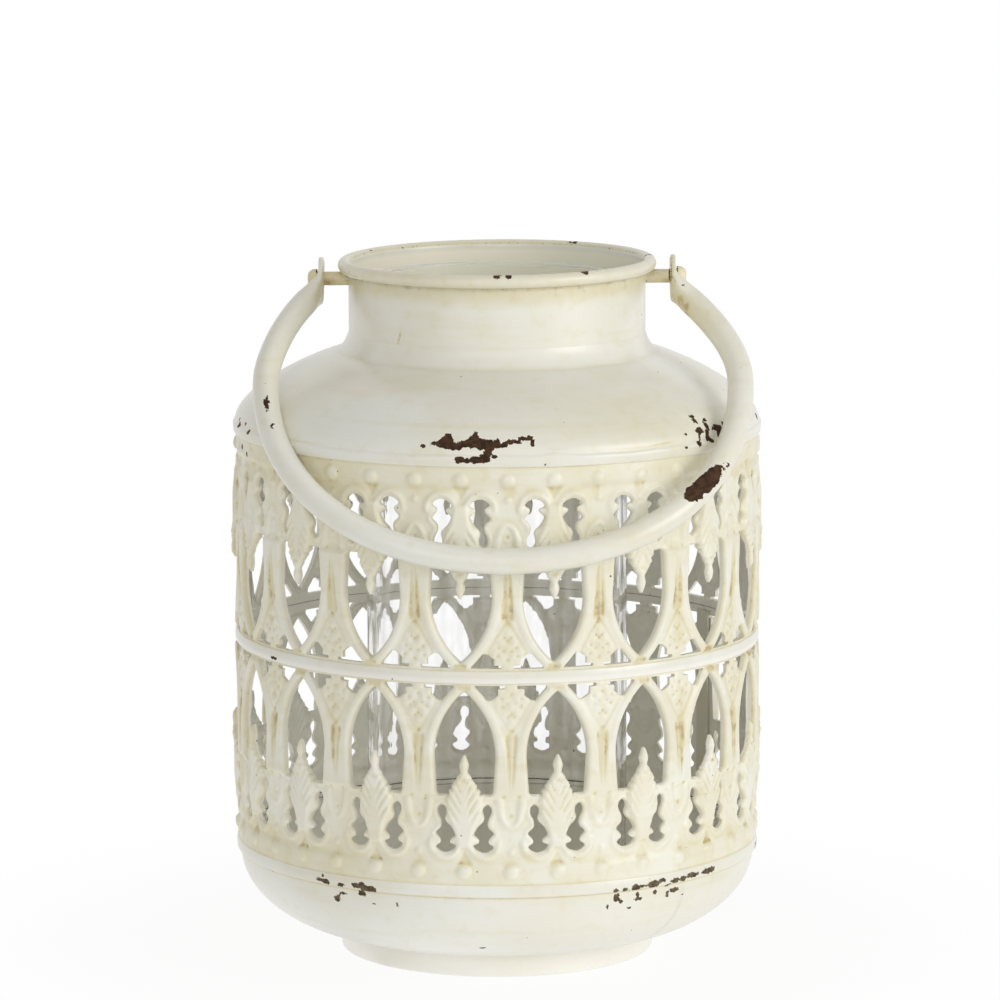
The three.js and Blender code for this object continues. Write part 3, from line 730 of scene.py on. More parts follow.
    # Leaf with its lobes, rib, knot and finial
    def pressLeaf(self, s, a, c, up):
        onLeaf = ease(-self.leafAway, -0.15, 1.0)
        heights, halfWidths = zip(*s["trunk"])
        trunk = np.interp(up, heights, halfWidths)
        lobes, knot = self.lobes(a, up), (0, s["knotUp"])
        veins = ease(up, 21, 26) * (1 - ease(up, 45, 47)) * ease(a, trunk, trunk + 1.4)
        body = 1.6 + 0.7 * ease(up, 16, 28) - 1.3 * ease(up, 38.1, 43) + veins * (1.15 * lobes - 0.95)
        body -= 0.05 * np.clip(a - 4, 0, 4) ** 2
        self.lift = self.lift * (1 - onLeaf) + onLeaf * (s["ground"] + body)
        finial = 0.5 * hump(np.hypot(a, (up - s["finialUp"]) / 1.6), 2.0)
        self.lift += onLeaf * (finial - 0.5 * ease(up, 46, 48.5))
        self.lift -= onLeaf * 0.75 * spotAt(a, up, knot, 0.9)
        between = 0.9 * veins * (1 - lobes) ** 1.2 * ease(up, 24, 34)
        self.patina += onLeaf * (between + 0.9 * spotAt(a, up, knot, 1.0))
        # thin patina on the ground beside the bosses and the leaf
        self.patina += 0.16 * (1 - ease(up, 9, 15)) * (1 - self.bosses)
        self.patina += 0.06 * (1 - ease(up, 30, 36)) * (1 - onLeaf)

    # Pad over the point of the arch and the plain rail behind the hoop
    def pressRail(self, s, a, up):
        pad = (1 - ease(a, 2.2, 3.0)) * ease(up, 81.8, 82.6)
        self.lift -= 0.5 * pad
        self.patina += pad * (1 - ease(up, 84.4, 85))
        rail = ease(up, s["railUp"], s["railUp"] + 0.8)
        self.lift = self.lift * (1 - rail) + 1.2 * rail
        self.patina = self.patina * (1 - rail) + 0.3 * rail + 0.6 * (1 - ease(up, -0.6, 1.2))

    # Leaf tips lean out of the band
    def curl(self, across, up):
        onLeaf = self.leafDistance(np.abs(across), up) < 0.4
        return self.s["curl"] * ease(up, self.s["archSill"], 44) * onLeaf


def blurred(values, reach, step):
    half = max(1, int(3 * reach / step))
    weights = np.exp(-((np.arange(-half, half + 1) * step / reach) ** 2) / 2)
    weights /= weights.sum()
    padded = np.pad(values, half, mode="edge")
    rows = np.apply_along_axis(lambda line: np.convolve(line, weights, "valid"), 0, padded)
    return np.apply_along_axis(lambda line: np.convolve(line, weights, "valid"), 1, rows)


# One period of the front sheet: grid cells, cut along the edges of the openings
def piercedPeriod(strip, cell):
    s = strip.s
    columns, rows = round(strip.width / cell), round(s["height"] / cell)
    us = np.linspace(-strip.width / 2, strip.width / 2, columns + 1)
    hs = np.linspace(-s["tuck"], s["height"] - s["tuck"], rows + 1)
    across, up = np.meshgrid(us, hs)
    away = strip.iron(across, up)
    # grid points close to an edge are pulled on to it
    slopeUp, slopeAcross = np.gradient(away, hs, us)
    slopeAcross[:, [0, -1]] = 0
    pull = np.abs(away) < 0.35 * cell
    pull[[0, -1], :] = False
    across = across - np.where(pull, away * slopeAcross, 0)
    up = up - np.where(pull, away * slopeUp, 0)
    depth = np.where(pull, 0, away).ravel()
    spots = np.stack([across.ravel(), up.ravel()], 1).tolist()
    crossings, faces = {}, []
    for j in range(rows):
        for i in range(columns):
            low = j * (columns + 1) + i
            high = low + columns + 1
            ids = [low, low + 1, high + 1, high]
            if max(depth[k] for k in ids) <= 0:
                continue
            face = []
            for start, end in zip(ids, ids[1:] + ids[:1]):
                if depth[start] >= 0:
                    face.append(start)
                if depth[start] * depth[end] < 0:
                    key = (min(start, end), max(start, end))
                    if key not in crossings:
                        share = depth[key[0]] / (depth[key[0]] - depth[key[1]])
                        a, b = spots[key[0]], spots[key[1]]
                        crossings[key] = len(spots)
                        spots.append([a[0] + share * (b[0] - a[0]), a[1] + share * (b[1] - a[1])])
                    face.append(crossings[key])
            if len(face) > 2:
                faces.append(face)
    return np.array(spots), faces, columns, rows


# Rise, patina and hollows of the relief at the points of one period
def pressedPeriod(strip, spots, step=0.4):
    s = strip.s
    us = np.arange(-strip.width / 2, strip.width / 2 + step, step)
    hs = np.arange(-s["tuck"], s["height"] - s["tuck"] + step, step)
    lift, patina = strip.relief(*np.meshgrid(us, hs))
    lift = blurred(lift, 0.22, step)
    hollows = np.clip((blurred(lift, 1.2, step) - lift - 0.05) / 0.9, 0, 1)
    x = np.clip((spots[:, 0] - us[0]) / step, 0, len(us) - 1.001)
    y = np.clip((spots[:, 1] - hs[0]) / step, 0, len(hs) - 1.001)
    i, j = x.astype(int), y.astype(int)
    fx, fy = x - i, y - j
    found = []
    for values in (lift, patina, hollows):
        low = values[j, i] * (1 - fx) + values[j, i + 1] * fx
        high = values[j + 1, i] * (1 - fx) + values[j + 1, i + 1] * fx
        found.append(low * (1 - fy) + high * fy)
    return found


# Sews the periods together: the right edge of each is the left edge of the next, except at the seam.
# Gives the faces of the whole front sheet and which of its points they use
def sewn(faces, count, periods, columns, rows):
    link = np.arange(count * periods)
    for p in range(periods - 1):
        for j in range(rows + 1):
            link[p * count + j * (columns + 1) + columns] = (p + 1) * count + j * (columns + 1)
    polygons = [[int(link[p * count + k]) for k in face] for p in range(periods) for face in faces]
    used = np.zeros(len(link), bool)
    for face in polygons:
        used[face] = True
    new = np.cumsum(used) - 1
    return [[int(new[k]) for k in face] for face in polygons], used


# Whole band: the front sheet bent to the ring, its back, and the walls of the openings. The seam
# faces away from the photographed side, and the upper band is the strip turned upside down
def filigreeBand(name, node, s, turnDegrees, foot, upward, seed, chips):
    strip, periods = Strip(s), s["periods"]
    period = 2 * math.pi / periods
    cell = s["cell"]
    spots, faces, columns, rows = piercedPeriod(strip, cell)
    across, up = spots[:, 0], spots[:, 1]
    rise, dirt, hollow = pressedPeriod(strip, spots)
    nearEdge = 1 - ease(strip.iron(across, up), 0.2, 1.3)
    lean = strip.curl(across, up)
    follow = 0.85 * ease(up, 2, 5) * (1 - ease(up, 82, 84))
    wear = np.random.default_rng(seed + 7)
    angles, backs, grimesAndShade = [], [], []
    for p in range(periods):
        nudge = np.zeros(len(spots))  # half the slit, along both sides of the seam
        if p == 0:
            nudge[np.abs(across + strip.width / 2) < 1e-6] = s["slit"] / 2
        if p == periods - 1:
            nudge[np.abs(across - strip.width / 2) < 1e-6] = -s["slit"] / 2
        angles.append((p + 0.5) * period + (across + nudge) / s["radius"])
        # the back follows the front, but for the strap along the seam
        fromSeam = np.minimum(p * strip.width + across, (periods - 1 - p) * strip.width - across)
        hollowed = follow * ease(fromSeam + strip.width / 2, 11, 15) * rise
        backs.append(s["radius"] - s["wall"] + lean + hollowed)
        above, below = wear.uniform(0.6, 1.35), wear.uniform(0.3, 1.2)
        worn = below + (above - below) * ease(up, 42, 54)
        grimesAndShade.append(np.clip(dirt * worn + 0.8 * hollow, 0, 1))
    polygons, used = sewn(faces, len(spots), periods, columns, rows)
    angles, backs, grimesAndShade = (np.concatenate(parts)[used] for parts in (angles, backs, grimesAndShade))
    fronts = s["radius"] + rise + lean
    heights, fronts, nearEdge = (np.tile(part, periods)[used] for part in (up, fronts, nearEdge))
    turn = (angles + math.radians(s["seamAt"])) * (1 if upward else -1) + math.radians(turnDegrees)
    level = foot + (heights if upward else -heights)
    # yellower along the edge on the front left, and painted shade: browner round the openings at the left
    # and right sides
    grimesAndShade = np.clip(grimesAndShade + 0.4 * bellRound(turn, -0.87, 0.12) * (1 - ease(heights, 10, 22)), 0, 1)
    grimesAndShade = np.maximum(grimesAndShade, 0.85 * nearEdge * np.sin(turn) ** 4)
    draw = waves(turn, level, seed) * 0.16
    points = np.concatenate([
        np.stack([(r + draw) * np.sin(turn), -(r + draw) * np.cos(turn), level], 1) for r in (fronts, backs)
    ])
    edges = {(a, b) for face in polygons for a, b in zip(face, face[1:] + face[:1])}
    total = len(turn)
    walls = [(a, b, b + total, a + total) for a, b in edges if (b, a) not in edges]
    allFaces = polygons + [[k + total for k in face[::-1]] for face in polygons] + walls
    bare = chipField(points, chips, s["radius"] + 0.5)
    # painted shadow: a dark line along the inner foot, where the band stands on the ledge
    bare[total:] = np.where(np.abs(heights - s["shadowLineUp"]) < cell / 2, 3.0, 0)
    fields = {
        # painted light: the back sheet takes the lighter, cooler tint
        "grimeAndShade": np.concatenate([grimesAndShade, 0 * grimesAndShade]), "paintedLight": np.repeat([0.0, 0.9], total), "chips": bare,
    }
    addPiece(name, points, allFaces, reliefPaint, [node], fields, crease=50)


lowerChips = chipGroups(41, [(150, 75, 3), (-170, 52, 6), (96, 100, 1)])
filigreeBand("lower_filigree", "lower_filigree_band", filigree, 13.0, 49.9, True, 21, lowerChips)
upperChips = [(-75, 222, 1.5, 1.2), (-71, 220, 1, 1)]
upperChips += chipGroups(43, [(160, 200, 2), (-140, 215, 5), (104, 221, 4)])
filigreeBand("upper_filigree", "upper_filigree_band", filigree, 12.2, 225.6, False, 22, upperChips)

# Rolled hoop over the joint of the two bands
hoop = {
    "inside": 110.7, "thickness": 1.9, "height": 5.4, "centre": 137.75, "wander": 0.18,
    "chips": [(-57, 138, 1.5), (101, 138, 4), (-150, 137, 3)],
}


def middleHoop(s):
    half, outer, centre = s["height"] / 2, s["inside"] + s["thickness"], s["centre"]
    section = rounded([
        (s["inside"], centre - half), (outer - 0.1, centre - half, 1.5), (outer + 0.25, centre, 1.8),
        (outer - 0.1, centre + half, 1.5), (s["inside"], centre + half),
    ], 6)
    spots, faces, angle, height = turned(section, 288)
    spots[:, 2] += s["wander"] * waves(angle, 0 * height, 9)
    fields = {
        "grimeAndShade": 0.25 * bell(np.abs(height - centre) - half, 0.4),
        "chips": chipField(spots, chipGroups(35, s["chips"]), 100),
        # painted light: the lower half of the hoop takes the lighter tint, for the light from the floor
        # below
        "paintedLight": 0.8 * ease(-height, -centre - 0.5, -centre + 1.5),
    }
    addPiece("rolled_hoop", spots, faces, smoothPaint, ["middle_hoop"], fields)


middleHoop(hoop)

# Spun shoulder: lip over the upper band, dome, and the fillet up to the neck
shoulder = {
    "edge": 112.6, "wall": 1.1, "lipBottom": 225.6, "lipTop": 230.4, "sidePull": 11.2, "topPull": 14.9,
    "slope": 14.2, "domeTop": 259.8, "neck": 63.5, "fillet": 5.2, "neckFoot": 268.3, "bandInside": 109.1,
    "ledge": 227.4, "bandRadius": 110.4, "collarTop": 276.3, "dents": 0.2, "ringUp": 241.5,
    "chips": [
        (-16, 234.1, 1, 0.6), (-13.6, 235.1, 1.2, 0.6), (-12.2, 235.1, 2.2, 1.4), (-10.8, 235.9, 2.6, 2.9),
        (-9, 234.1, 2.9, 1.4), (-7, 235.1, 2.3, 1.4), (-5.4, 235.9, 2.3, 2.3), (-4.6, 238.5, 0.9, 1.4),
        (-3.4, 235.3, 2.9, 2.1), (-1.8, 234.4, 2.5, 2.5), (0, 235.4, 1.5, 1.7), (1.4, 234.8, 1.5, 1),
        (2.8, 236, 1.9, 0.9), (4.4, 236.2, 1.6, 0.8), (5.6, 237.2, 1.7, 0.6), (7, 237.4, 1.6, 0.8),
        (7.6, 235.7, 0.7, 1.4), (-7.8, 229, 2, 1.4), (-6.2, 228.6, 1.9, 1), (-4.6, 229, 2.3, 1.4),
        (-2.6, 229.6, 2.1, 1.9), (-2, 231.7, 1.7, 2.3), (-0.6, 230.4, 1, 0.8), (50, 240.5, 1, 0.5),
        (50, 239.6, 1, 0.7), (50, 238.7, 1, 0.6), (53.6, 238.6, 0.8, 0.7), (52.8, 236.4, 1.2, 1.9),
        (49.8, 235.1, 2.5, 1.2), (52, 233.8, 1.2, 1.2), (51.8, 231.7, 1.7, 1.2), (52.8, 230.4, 1.4, 0.8),
        (49, 232.7, 0.6, 1.4), (48.4, 230.1, 1.3, 1.3), (56.2, 235, 3.4, 1.3), (56.4, 232.7, 2, 1.9),
        (59.2, 235, 0.9, 1.4), (44.8, 234.7, 0.9, 0.4), (44.2, 229.5, 0.7, 0.5), (-76.5, 231, 1.6, 1.2),
        (-78, 233, 0.8, 0.8), (-68.5, 230, 1.4, 1), (-72, 232.4, 0.7, 0.6), (82, 233, 1.5, 1.2),
        (77.5, 236.5, 0.8, 0.7), (86, 238, 0.9, 1.3),
    ],
    "moreChips": [
        (130, 234, 12), (-146, 236, 9), (170, 232, 5), (97, 229, 6), (-112, 233, 4), (-178, 244, 3),
    ],
}


def spunShoulder(s):
    slope = math.radians(s["slope"])
    start, end = (s["edge"] - 0.3, s["lipTop"]), (s["neck"] + s["fillet"], s["domeTop"])
    dome = bezier(
        start, (start[0], start[1] + s["sidePull"]),
        (end[0] + s["topPull"] * math.cos(slope), end[1] - s["topPull"] * math.sin(slope)), end, 84,
    )
    rise = s["neckFoot"] - s["domeTop"]
    fillet = bezier(
        end, (end[0] - 2.6, end[1] + 0.22 * rise), (s["neck"] + 1.0, end[1] + 0.55 * rise),
        (s["neck"], s["neckFoot"] - 0.02), 14,
    )
    outside = dome + fillet[1:]
    lining = inside(outside, s["wall"])[::5]
    seat, hem = s["bandRadius"] + 0.6, s["edge"] + 0.7
    lip = rounded([
        (seat, s["lipBottom"] + 0.2), (hem - 0.3, s["lipBottom"], 0.8), (hem, s["lipBottom"] + 2.2, 1.2),
        (hem, s["lipTop"] - 0.6, 1.2), (start[0], s["lipTop"] + 0.5, 0.5), (start[0], s["lipTop"] + 1.2),
    ], closed=False)
    section = finer(lip, s["lipBottom"], s["lipTop"] + 2)
    section += [p for p in outside if p[1] > s["lipTop"] + 1.6]
    collar, ledge = s["neck"] - 1.3, s["bandInside"] - 0.3
    section += [(collar, s["neckFoot"] - 0.02), (collar, s["collarTop"])]
    section += [(collar - s["wall"], s["collarTop"]), (collar - s["wall"], s["neckFoot"] - 0.3)]
    section += lining[1:-1][::-1] + [(ledge, s["lipTop"]), (ledge, s["ledge"]), (seat, s["ledge"])]
    spots, faces, angle, height = turned(section, 900)
    radius = radiusOf(spots)
    onDome = (1 - ease(height, 250, 262)) * ease(height, 231, 240)
    swell(spots, s["dents"] * waves(angle, height, 6) * onDome)
    # the hem was turned over by hand: its upper edge wanders and swells in places
    outer, degrees = radius > seat + 0.2, np.degrees(angle)
    onHem = ease(height, s["lipBottom"] + 2, s["lipTop"] - 0.2) * outer
    onHem = onHem * (1 - ease(height, s["lipTop"] + 1, s["lipTop"] + 3))
    wander = 0.5 * waves(3 * angle, 0 * height, 12) + 0.9 * bell(degrees - 12.5, 2.6)
    spots[:, 2] += np.clip(wander, -0.5, 1.0) * onHem
    # patina under the hem, at the neck and in a faint ring, and painted shade on the dome's front right
    grimeAndShade = 0.2 * bell(height - s["lipBottom"], 0.8)
    grimeAndShade += 0.3 * bell(height - s["domeTop"] - 0.4, 1.2) * (radius < 72)
    grimeAndShade += 0.35 * bell(height - s["ringUp"], 1.2) * (0.5 + 0.5 * np.sin(3 * angle + 2.4)) * (radius > 100)
    grimeAndShade += 0.42 * bellRound(angle, 0.62, 0.12) * ease(height, 228, 236) * (1 - ease(height, 246, 260))
    # broken line along the hem's upper edge, and a scratch over it
    crease = bell(height - s["lipTop"] - 1.0, 0.6) * outer
    grimeAndShade += 0.5 * crease * ease(waves(2 * angle, 0 * height, 17), -0.4, 0.5)
    grimeAndShade += 0.95 * bell(degrees - 38, 2.6) * bell(height - 232.2 - 0.1 * (degrees - 38), 0.35)
    skin = radiusAt(dome, height) - 0.55
    chips = chipField(spots, s["chips"] + chipGroups(37, s["moreChips"]), skin)
    fields = {"grimeAndShade": np.clip(grimeAndShade, 0, 1), "chips": chips}
    addPiece("spun_shoulder", spots, faces, smoothPaint, ["shoulder_dome"], fields)


spunShoulder(shoulder)

# Neck tube with its top rolled over a wire
neck = {
    "radius": 63.5, "wall": 1.0, "foot": 268.3, "curlCentre": 296.5, "curl": 2.8, "lean": 0.008,
    "rimLift": 0.3, "scratchAt": -40.6, "scratchUp": 270,
    "chips": [(0, 299.3, 1.5, 1.1), (4, 299.1, 1.2, 1), (33.8, 299.3, 1.8, 1), (94, 299, 0.8, 0.9)],
    "moreChips": [(150, 296.4, 6), (-120, 296.6, 4), (175, 283, 2), (-150, 296.2, 5), (112, 296.4, 4)],
}


# The rim isn't quite level, and the pins and tabs share its lean
def leaning(spots, share=1.0):
    spots[:, 2] += (neck["rimLift"] + neck["lean"] * spots[:, 0]) * share


def neckCollar(s):
    inner, middle = s["radius"] - s["wall"], s["curlCentre"]
    ring = inner + s["curl"]

    def curled(reach, turns):
        return [(ring + reach * math.cos(t), middle + reach * math.sin(t)) for t in turns]

    turns = np.radians(np.linspace(180, -90, 28))
    section = [(inner, s["foot"])] + [(inner, z) for z in np.linspace(s["foot"] + 4, middle - 2, 8)]
    section += curled(s["curl"], turns) + curled(s["curl"] - s["wall"], turns[::-1])
    section += [(s["radius"], z) for z in np.linspace(middle - 4, s["foot"], 36)]
    spots, faces, angle, height = turned(section, 640)
    radius, up = radiusOf(spots), height - s["scratchUp"]
    out = radius > s["radius"] - 0.3
    # painted shade under the roll: shade is a tan band, part patina and part painted shade, and corner is a
    # painted shadow line just under the roll
    shade = 0.45 * ease(height, middle - 13, middle - 6) * (radius < s["radius"] + 0.3)
    scratch = bell(np.degrees(angle) - s["scratchAt"] - 0.3 * up, 0.45) * np.exp(-(((up - 0.5) / 4) ** 4))
    corner = bell(height - middle + 3.2, 0.6) * (radius < s["radius"] + 0.6)
    grimeAndShade = out * (0.22 + shade + 0.85 * scratch + 0.8 * corner) + 0.3 * (radius > s["radius"] + 0.8)
    # paint is rubbed off along the inner edge of the roll
    edge = np.hypot(radius - inner - 0.25, height - middle - 1.6)
    rubbed = np.maximum(2.0 - 1.3 * edge, 2.1 * scratch * out)
    chips = chipField(spots, s["chips"] + chipGroups(39, s["moreChips"]), s["radius"] - 0.2)
    fields = {
        "grimeAndShade": np.clip(np.maximum(grimeAndShade, bell(edge, 0.6)), 0, 1),
        "chips": np.maximum(chips, rubbed),
        # painted light: the inside of the neck takes the brighter tint
        "paintedLight": (radius < inner + 0.2) & (height < middle),
    }
    leaning(spots, ease(height, 280, 294))
    addPiece("neck_tube", spots, faces, neckPaint, ["neck_collar"], fields)


neckCollar(neck)

# Pin through each tab: domed head outside, flat tail inside the neck; along runs out from the axis
pin = {
    "height": 290.6, "radius": 2.95, "head": 4.2, "headRise": 4.2, "headStart": 76.8, "tail": 3.9,
    "tailRise": 1.2, "tailEnd": 62.07, "shaft": np.arange(63.2, 76, 0.8), "neckAt": 64, "tabAt": 73.6,
}


def pivotPin(name, node, s, side):
    radius, head, start, rise = s["radius"], s["head"], s["headStart"], s["headRise"]
    section = rounded([
        (0, s["tailEnd"] - s["tailRise"]), (s["tail"], s["tailEnd"] - s["tailRise"], 0.4),
        (s["tail"], s["tailEnd"], 0.3), (radius, s["tailEnd"]), *[(radius, x) for x in s["shaft"]],
        (radius, start), (head, start, 0.5), (head * 0.98, start + rise * 0.5, 1.6),
        (head * 0.62, start + rise * 0.97, 1.6), (0, start + rise),
    ], 6, closed=False)
    spots, faces, _, along = turned(section, 40, closed=False)
    points = np.stack([side * spots[:, 2], spots[:, 1], s["height"] + spots[:, 0]], 1)
    # rust gathers on the underside; painted shade: dark rings where the head meets the tab and where the pin
    # goes into the neck, a dark line where the right pin meets the tab, and the whole left pin darker
    low = ease(-points[:, 2], -s["height"] - 1.5, -s["height"] + 2)
    onShaft = ease(along, 68.5, 72.5) * (1 - ease(along, start - 0.5, start + 0.5))
    edge = (np.abs(along - start - 0.2) < 0.6) | (np.abs(along - s["neckAt"]) < 0.6)
    gapShadow = (np.abs(along - s["tabAt"]) < 0.5) & (points[:, 2] > s["height"] - 1.5)
    fields = {
        "grimeAndShade": np.clip(0.15 - 0.15 * side + 0.75 * low * onShaft, 0, 1),
        "chips": np.maximum(1.9 * edge, 2.6 * gapShadow * (side > 0)),
    }
    leaning(points)
    addPiece(name, points, faces, tabPaint, [node], fields)


pivotPin("right_pin", "right_pivot_pin", pin, 1)
pivotPin("left_pin", "left_pivot_pin", pin, -1)

# Bail: round rod, its ends forged flat into tabs. Places are (across, down) from the pivot, and a
# chip or a stain is ((x, y, z), reach) or ((x, z), reach, strength) in the lantern.
bail = {
    "height": 290.6, "tilt": 50.0, "tube": 5.5, "halfWidth": 100.0, "reach": 159.2, "belly": 60.2,
    "roundness": 0.59, "tabFace": 73.9, "tabThickness": 2.6, "tabRadius": 9.2, "tabLength": 6.0,
    "tabMiddle": 75.2, "elbow": (81.8, 12.6), "flatFrom": 3.0, "flatTo": 15.0, "sides": 36, "bent": 2.6,
    "chips": [
        ((94.4, -84.9, 222.3), 2.3), ((92.2, -87.5, 221.9), 1.9), ((90.7, -89.6, 220.3), 2.9),
        ((88.7, -92.2, 218.1), 3.6), ((85.7, -95.4, 215.9), 4.0), ((81.8, -99.1, 213.3), 3.9),
        ((79.4, -101.4, 211.4), 2.3), ((-96.6, -58.8, 247.4), 1.1), ((-96.6, -62.2, 245), 1.6),
        ((-96.1, -64.5, 243.1), 1.4), ((-93.9, -71.9, 236.8), 1.35), ((-97.1, -53.3, 252.1), 0.5),
        ((16.5, -116.2, 191.6), 0.6), ((-14.7, -126.6, 187.3), 0.5), ((79.2, -12.2, 287.5), 0.8),
        ((73.9, -6.5, 289), 0.9), ((73.7, -9.1, 291.5), 0.7), ((73.7, -8.6, 294), 0.75),
        ((73.7, -7.4, 296.2), 0.6), ((74, -4.6, 298.6), 0.7), ((73.7, -9.4, 289), 0.6),
        ((104, -44, 250), 2.2), ((40, -104, 190), 1.8), ((-60, -96, 203), 2.0),
    ],
    "stains": [((76, 279), 5, 1.1), ((-76, 284), 4, 0.5), ((84, 276), 9, 0.3)],
}


# Half of the bail: each station is its middle, the vector to its outer side, its half width and how
# flat it is
def bailStations(s):
    swing, flat = s["reach"] - s["belly"], s["tabThickness"] / 2
    widest = (s["halfWidth"], s["belly"])
    upper = bezier(
        (s["tabMiddle"], s["tabLength"]), s["elbow"], (s["halfWidth"], s["belly"] * 0.6), widest, 46,
    )
    lower = bezier(
        widest, (s["halfWidth"], s["belly"] + s["roundness"] * swing),
        (s["roundness"] * s["halfWidth"], s["reach"]), (0, s["reach"]), 64,
    )
    line = np.array([(s["tabMiddle"], down) for down in np.linspace(2, 5.4, 4)] + upper + lower[1:])
    along = np.gradient(line, axis=0)
    along /= np.linalg.norm(along, axis=1)[:, None]
    stations = []
    for turn in np.radians([8, 22, 38, 54, 70, 82, 90]):  # round top of the tab
        centre = np.array([s["tabFace"] + flat, -s["tabRadius"] * math.cos(turn)])
        stations.append((centre, np.array([flat, 0]), s["tabRadius"] * math.sin(turn), 1.0))
    for spot, way in zip(line, along):
        share = float(ease(spot[1], s["flatFrom"], s["flatTo"]))
        out = (flat + (s["tube"] - flat) * share) * np.array([way[1], -way[0]])
        wide = s["tabRadius"] + (s["tube"] - s["tabRadius"]) * share
        flush = max(0.0, s["tabFace"] - (spot - out)[0]) if share < 1 else 0.0
        stations.append((spot + np.array([flush, 0]), out, wide, 1 - share))
    return stations


def bailRod(s):
    half = bailStations(s)
    flip = np.array([-1, 1])
    stations = half + [(c * flip, v * flip, w, q) for c, v, w, q in half[:-1][::-1]]
    tilt, n = math.radians(s["tilt"]), s["sides"]
    turns = np.arange(n) * 2 * math.pi / n
    rings, faces = [], []
    for centre, out, wide, square in stations:
        x = np.sign(np.cos(turns)) * np.abs(np.cos(turns)) ** (1 - 0.6 * square)
        y = wide * np.sign(np.sin(turns)) * np.abs(np.sin(turns)) ** (1 - 0.3 * square)
        bent = s["bent"] * float(ease(centre[1], 6, 48))  # a little to one side
        across, down = centre[0] + bent + out[0] * x, centre[1] + out[1] * x
        front = -down * math.sin(tilt) - y * math.cos(tilt)
        rings.append(np.stack([across, front, s["height"] - down * math.cos(tilt) + y * math.sin(tilt)], 1))
    for i in range(len(stations) - 1):
        low, high = i * n, (i + 1) * n
        faces += [(low + k, low + (k + 1) % n, high + (k + 1) % n, high + k) for k in range(n)]
    last = (len(stations) - 1) * n
    faces += [tuple(range(n)), tuple(last + k for k in range(n))[::-1]]
    spots = np.concatenate(rings)
    field = np.zeros(len(spots))
    for centre, reach in s["chips"]:
        field = np.maximum(field, 2 + reach - np.linalg.norm(spots - np.array(centre), axis=1))
    across, up = spots[:, 0], spots[:, 2]
    # painted shade: the right half of the bail is darker
    stainAndShade = 0.3 * ease(across, -60, 0)
    for centre, reach, strength in s["stains"]:
        stainAndShade += strength * spotAt(across, up, centre, reach)
    onTab = (np.abs(across) < 76) * ease(up, 284, 288)
    stainAndShade += onTab * (0.25 + 0.5 * ease(-np.abs(across), -74.6, -73.8))
    # the right tab's edge is worn
    rim = (across > 0) & (across < 77) & (np.hypot(spots[:, 1], up - s["height"]) > 8) & (up > 289)
    fields = {"grimeAndShade": np.clip(stainAndShade, 0, 1), "chips": np.maximum(field, 1.6 * rim)}
    leaning(spots, ease(up, 262, 284))
    nodes = ["bail_handle"]
    addPiece("bail_rod", spots, faces, smoothPaint, nodes, fields, "bail", crease=46)


bailRod(bail)

# CAD nodes that stay: the wire in the rolled rim and the straps behind the seams
keptNodes = {"rim_wire": ironFinish, "lower_seam_strap": innerPaint, "upper_seam_strap": innerPaint}
for name, finish in keptNodes.items():
    materials = frame["nodes"][name].data.materials
    materials.clear()
    materials.append(finish)

# Floor, white behind the lantern and shaded close to its foot; sizes in metres
stage = {
    "half": 6.0, "drop": 0.0002, "white": tint(252, 252, 251), "shadeFrom": 0.06, "shadeTo": 0.30,
    "seen": 0.9, "glowNear": 1.0, "glowFar": 0.5, "glowFrom": 0.2, "glowTo": 0.5,
}


def paleFloor(s):
    mesh = bpy.data.meshes.new("pale_floor")
    h, level = s["half"], -s["drop"]
    mesh.from_pydata([(-h, -h, level), (h, -h, level), (h, h, level), (-h, h, level)], [], [(0, 1, 2, 3)])
    finish = Finish("pale_floor")
    away = finish.add("VectorMath", {"operation": "LENGTH"}, {0: finish.place()}, "Value")
    camera, glossy, through = finish.rays("Camera"), finish.rays("Glossy"), finish.rays("Transmission")
    seen = finish.larger(finish.larger(camera, glossy), through)
    diffuse = finish.rays("Diffuse")
    cloth = finish.add("BsdfDiffuse", None, {"Color": s["white"]})
    glow = finish.add("Emission", None, {"Color": (1, 1, 1, 1), "Strength": 1.0})
    mask = seen * (s["seen"] + (1 - s["seen"]) * finish.between(away, s["shadeFrom"], s["shadeTo"]))
    farther = finish.between(away, s["glowFrom"], s["glowTo"])
    mask = finish.larger(mask, diffuse * (s["glowNear"] + (s["glowFar"] - s["glowNear"]) * farther))
    mesh.materials.append(finish.surface(finish.add("MixShader", None, {0: mask, 1: cloth, 2: glow})))
    floor = bpy.data.objects.new("pale_floor", mesh)
    bpy.context.scene.collection.objects.link(floor)


paleFloor(stage)

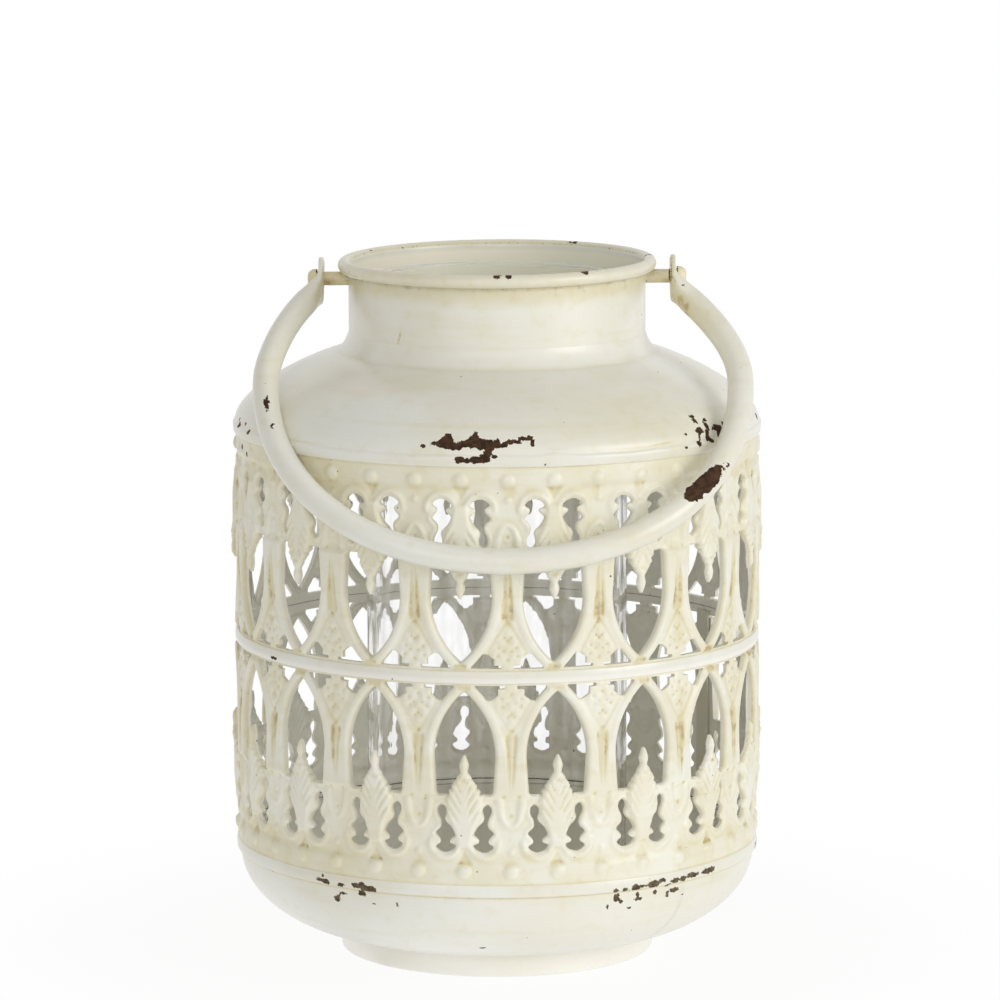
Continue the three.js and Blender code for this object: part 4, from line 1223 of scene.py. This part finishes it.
# Soft studio light: an even surround, a large panel on the right, two low fills and one overhead.
# A panel is (place, size, power), in metres and watts.
studio = {
    "surround": 0.42, "aimUp": 0.15,
    "panels": [
        ((2.1, -1.3, 0.8), 1.4, 24.0), ((-1.2, -2.4, 0.5), 1.2, 3.5), ((-0.3, -2.3, 1.05), 1.5, 6.3),
        ((0.1, -0.5, 2.3), 1.4, 2.0),
    ],
}


def softStudio(s):
    world = bpy.context.scene.world or bpy.data.worlds.new("studio")
    bpy.context.scene.world = world
    finish = Finish("studio", world)
    camera, glossy = finish.rays("Camera"), finish.rays("Glossy")
    seen = finish.larger(camera, finish.rays("Transmission"))
    light = finish.add("Background", None, {"Color": (1, 1, 1, 1), "Strength": s["surround"]})
    white = finish.add("Background", None, {"Color": (1, 1, 1, 1), "Strength": 1.0})
    shader = finish.add("MixShader", None, {0: finish.larger(seen, glossy), 1: light, 2: white})
    finish.add("OutputWorld", None, {"Surface": shader})
    for i, (spot, size, power) in enumerate(s["panels"]):
        lamp = bpy.data.lights.new("panel_%d" % (i + 1), "AREA")
        lamp.size, lamp.energy = size, power
        panel = bpy.data.objects.new(lamp.name, lamp)
        panel.location = spot
        aim = bpy.data.objects["body:lantern"].location - panel.location
        aim.z += s["aimUp"]
        panel.rotation_euler = aim.to_track_quat("-Z", "Y").to_euler()
        bpy.context.scene.collection.objects.link(panel)


softStudio(studio)

# Camera where the photograph was taken from
camera = {
    "lens": 223.2, "sensor": 36.0, "distance": 2.666, "pitch": 9.03, "aimHeight": 0.1944, "shift": 0.003,
    "clipEnd": 50,
}


def takeView(s):
    data = bpy.data.cameras.new("camera")
    data.lens, data.sensor_width, data.shift_x = s["lens"], s["sensor"], s["shift"]
    data.clip_end = s["clipEnd"]
    view = bpy.data.objects.new("camera", data)
    pitch, reach = math.radians(s["pitch"]), s["distance"]
    view.location = (0, -reach * math.cos(pitch), s["aimHeight"] + reach * math.sin(pitch))
    view.rotation_euler = (math.pi / 2 - pitch, 0, 0)
    bpy.context.scene.collection.objects.link(view)
    bpy.context.scene.camera = view


takeView(camera)
bpy.context.scene.view_settings.view_transform = "Standard"
print("stage, lamps and camera ready")
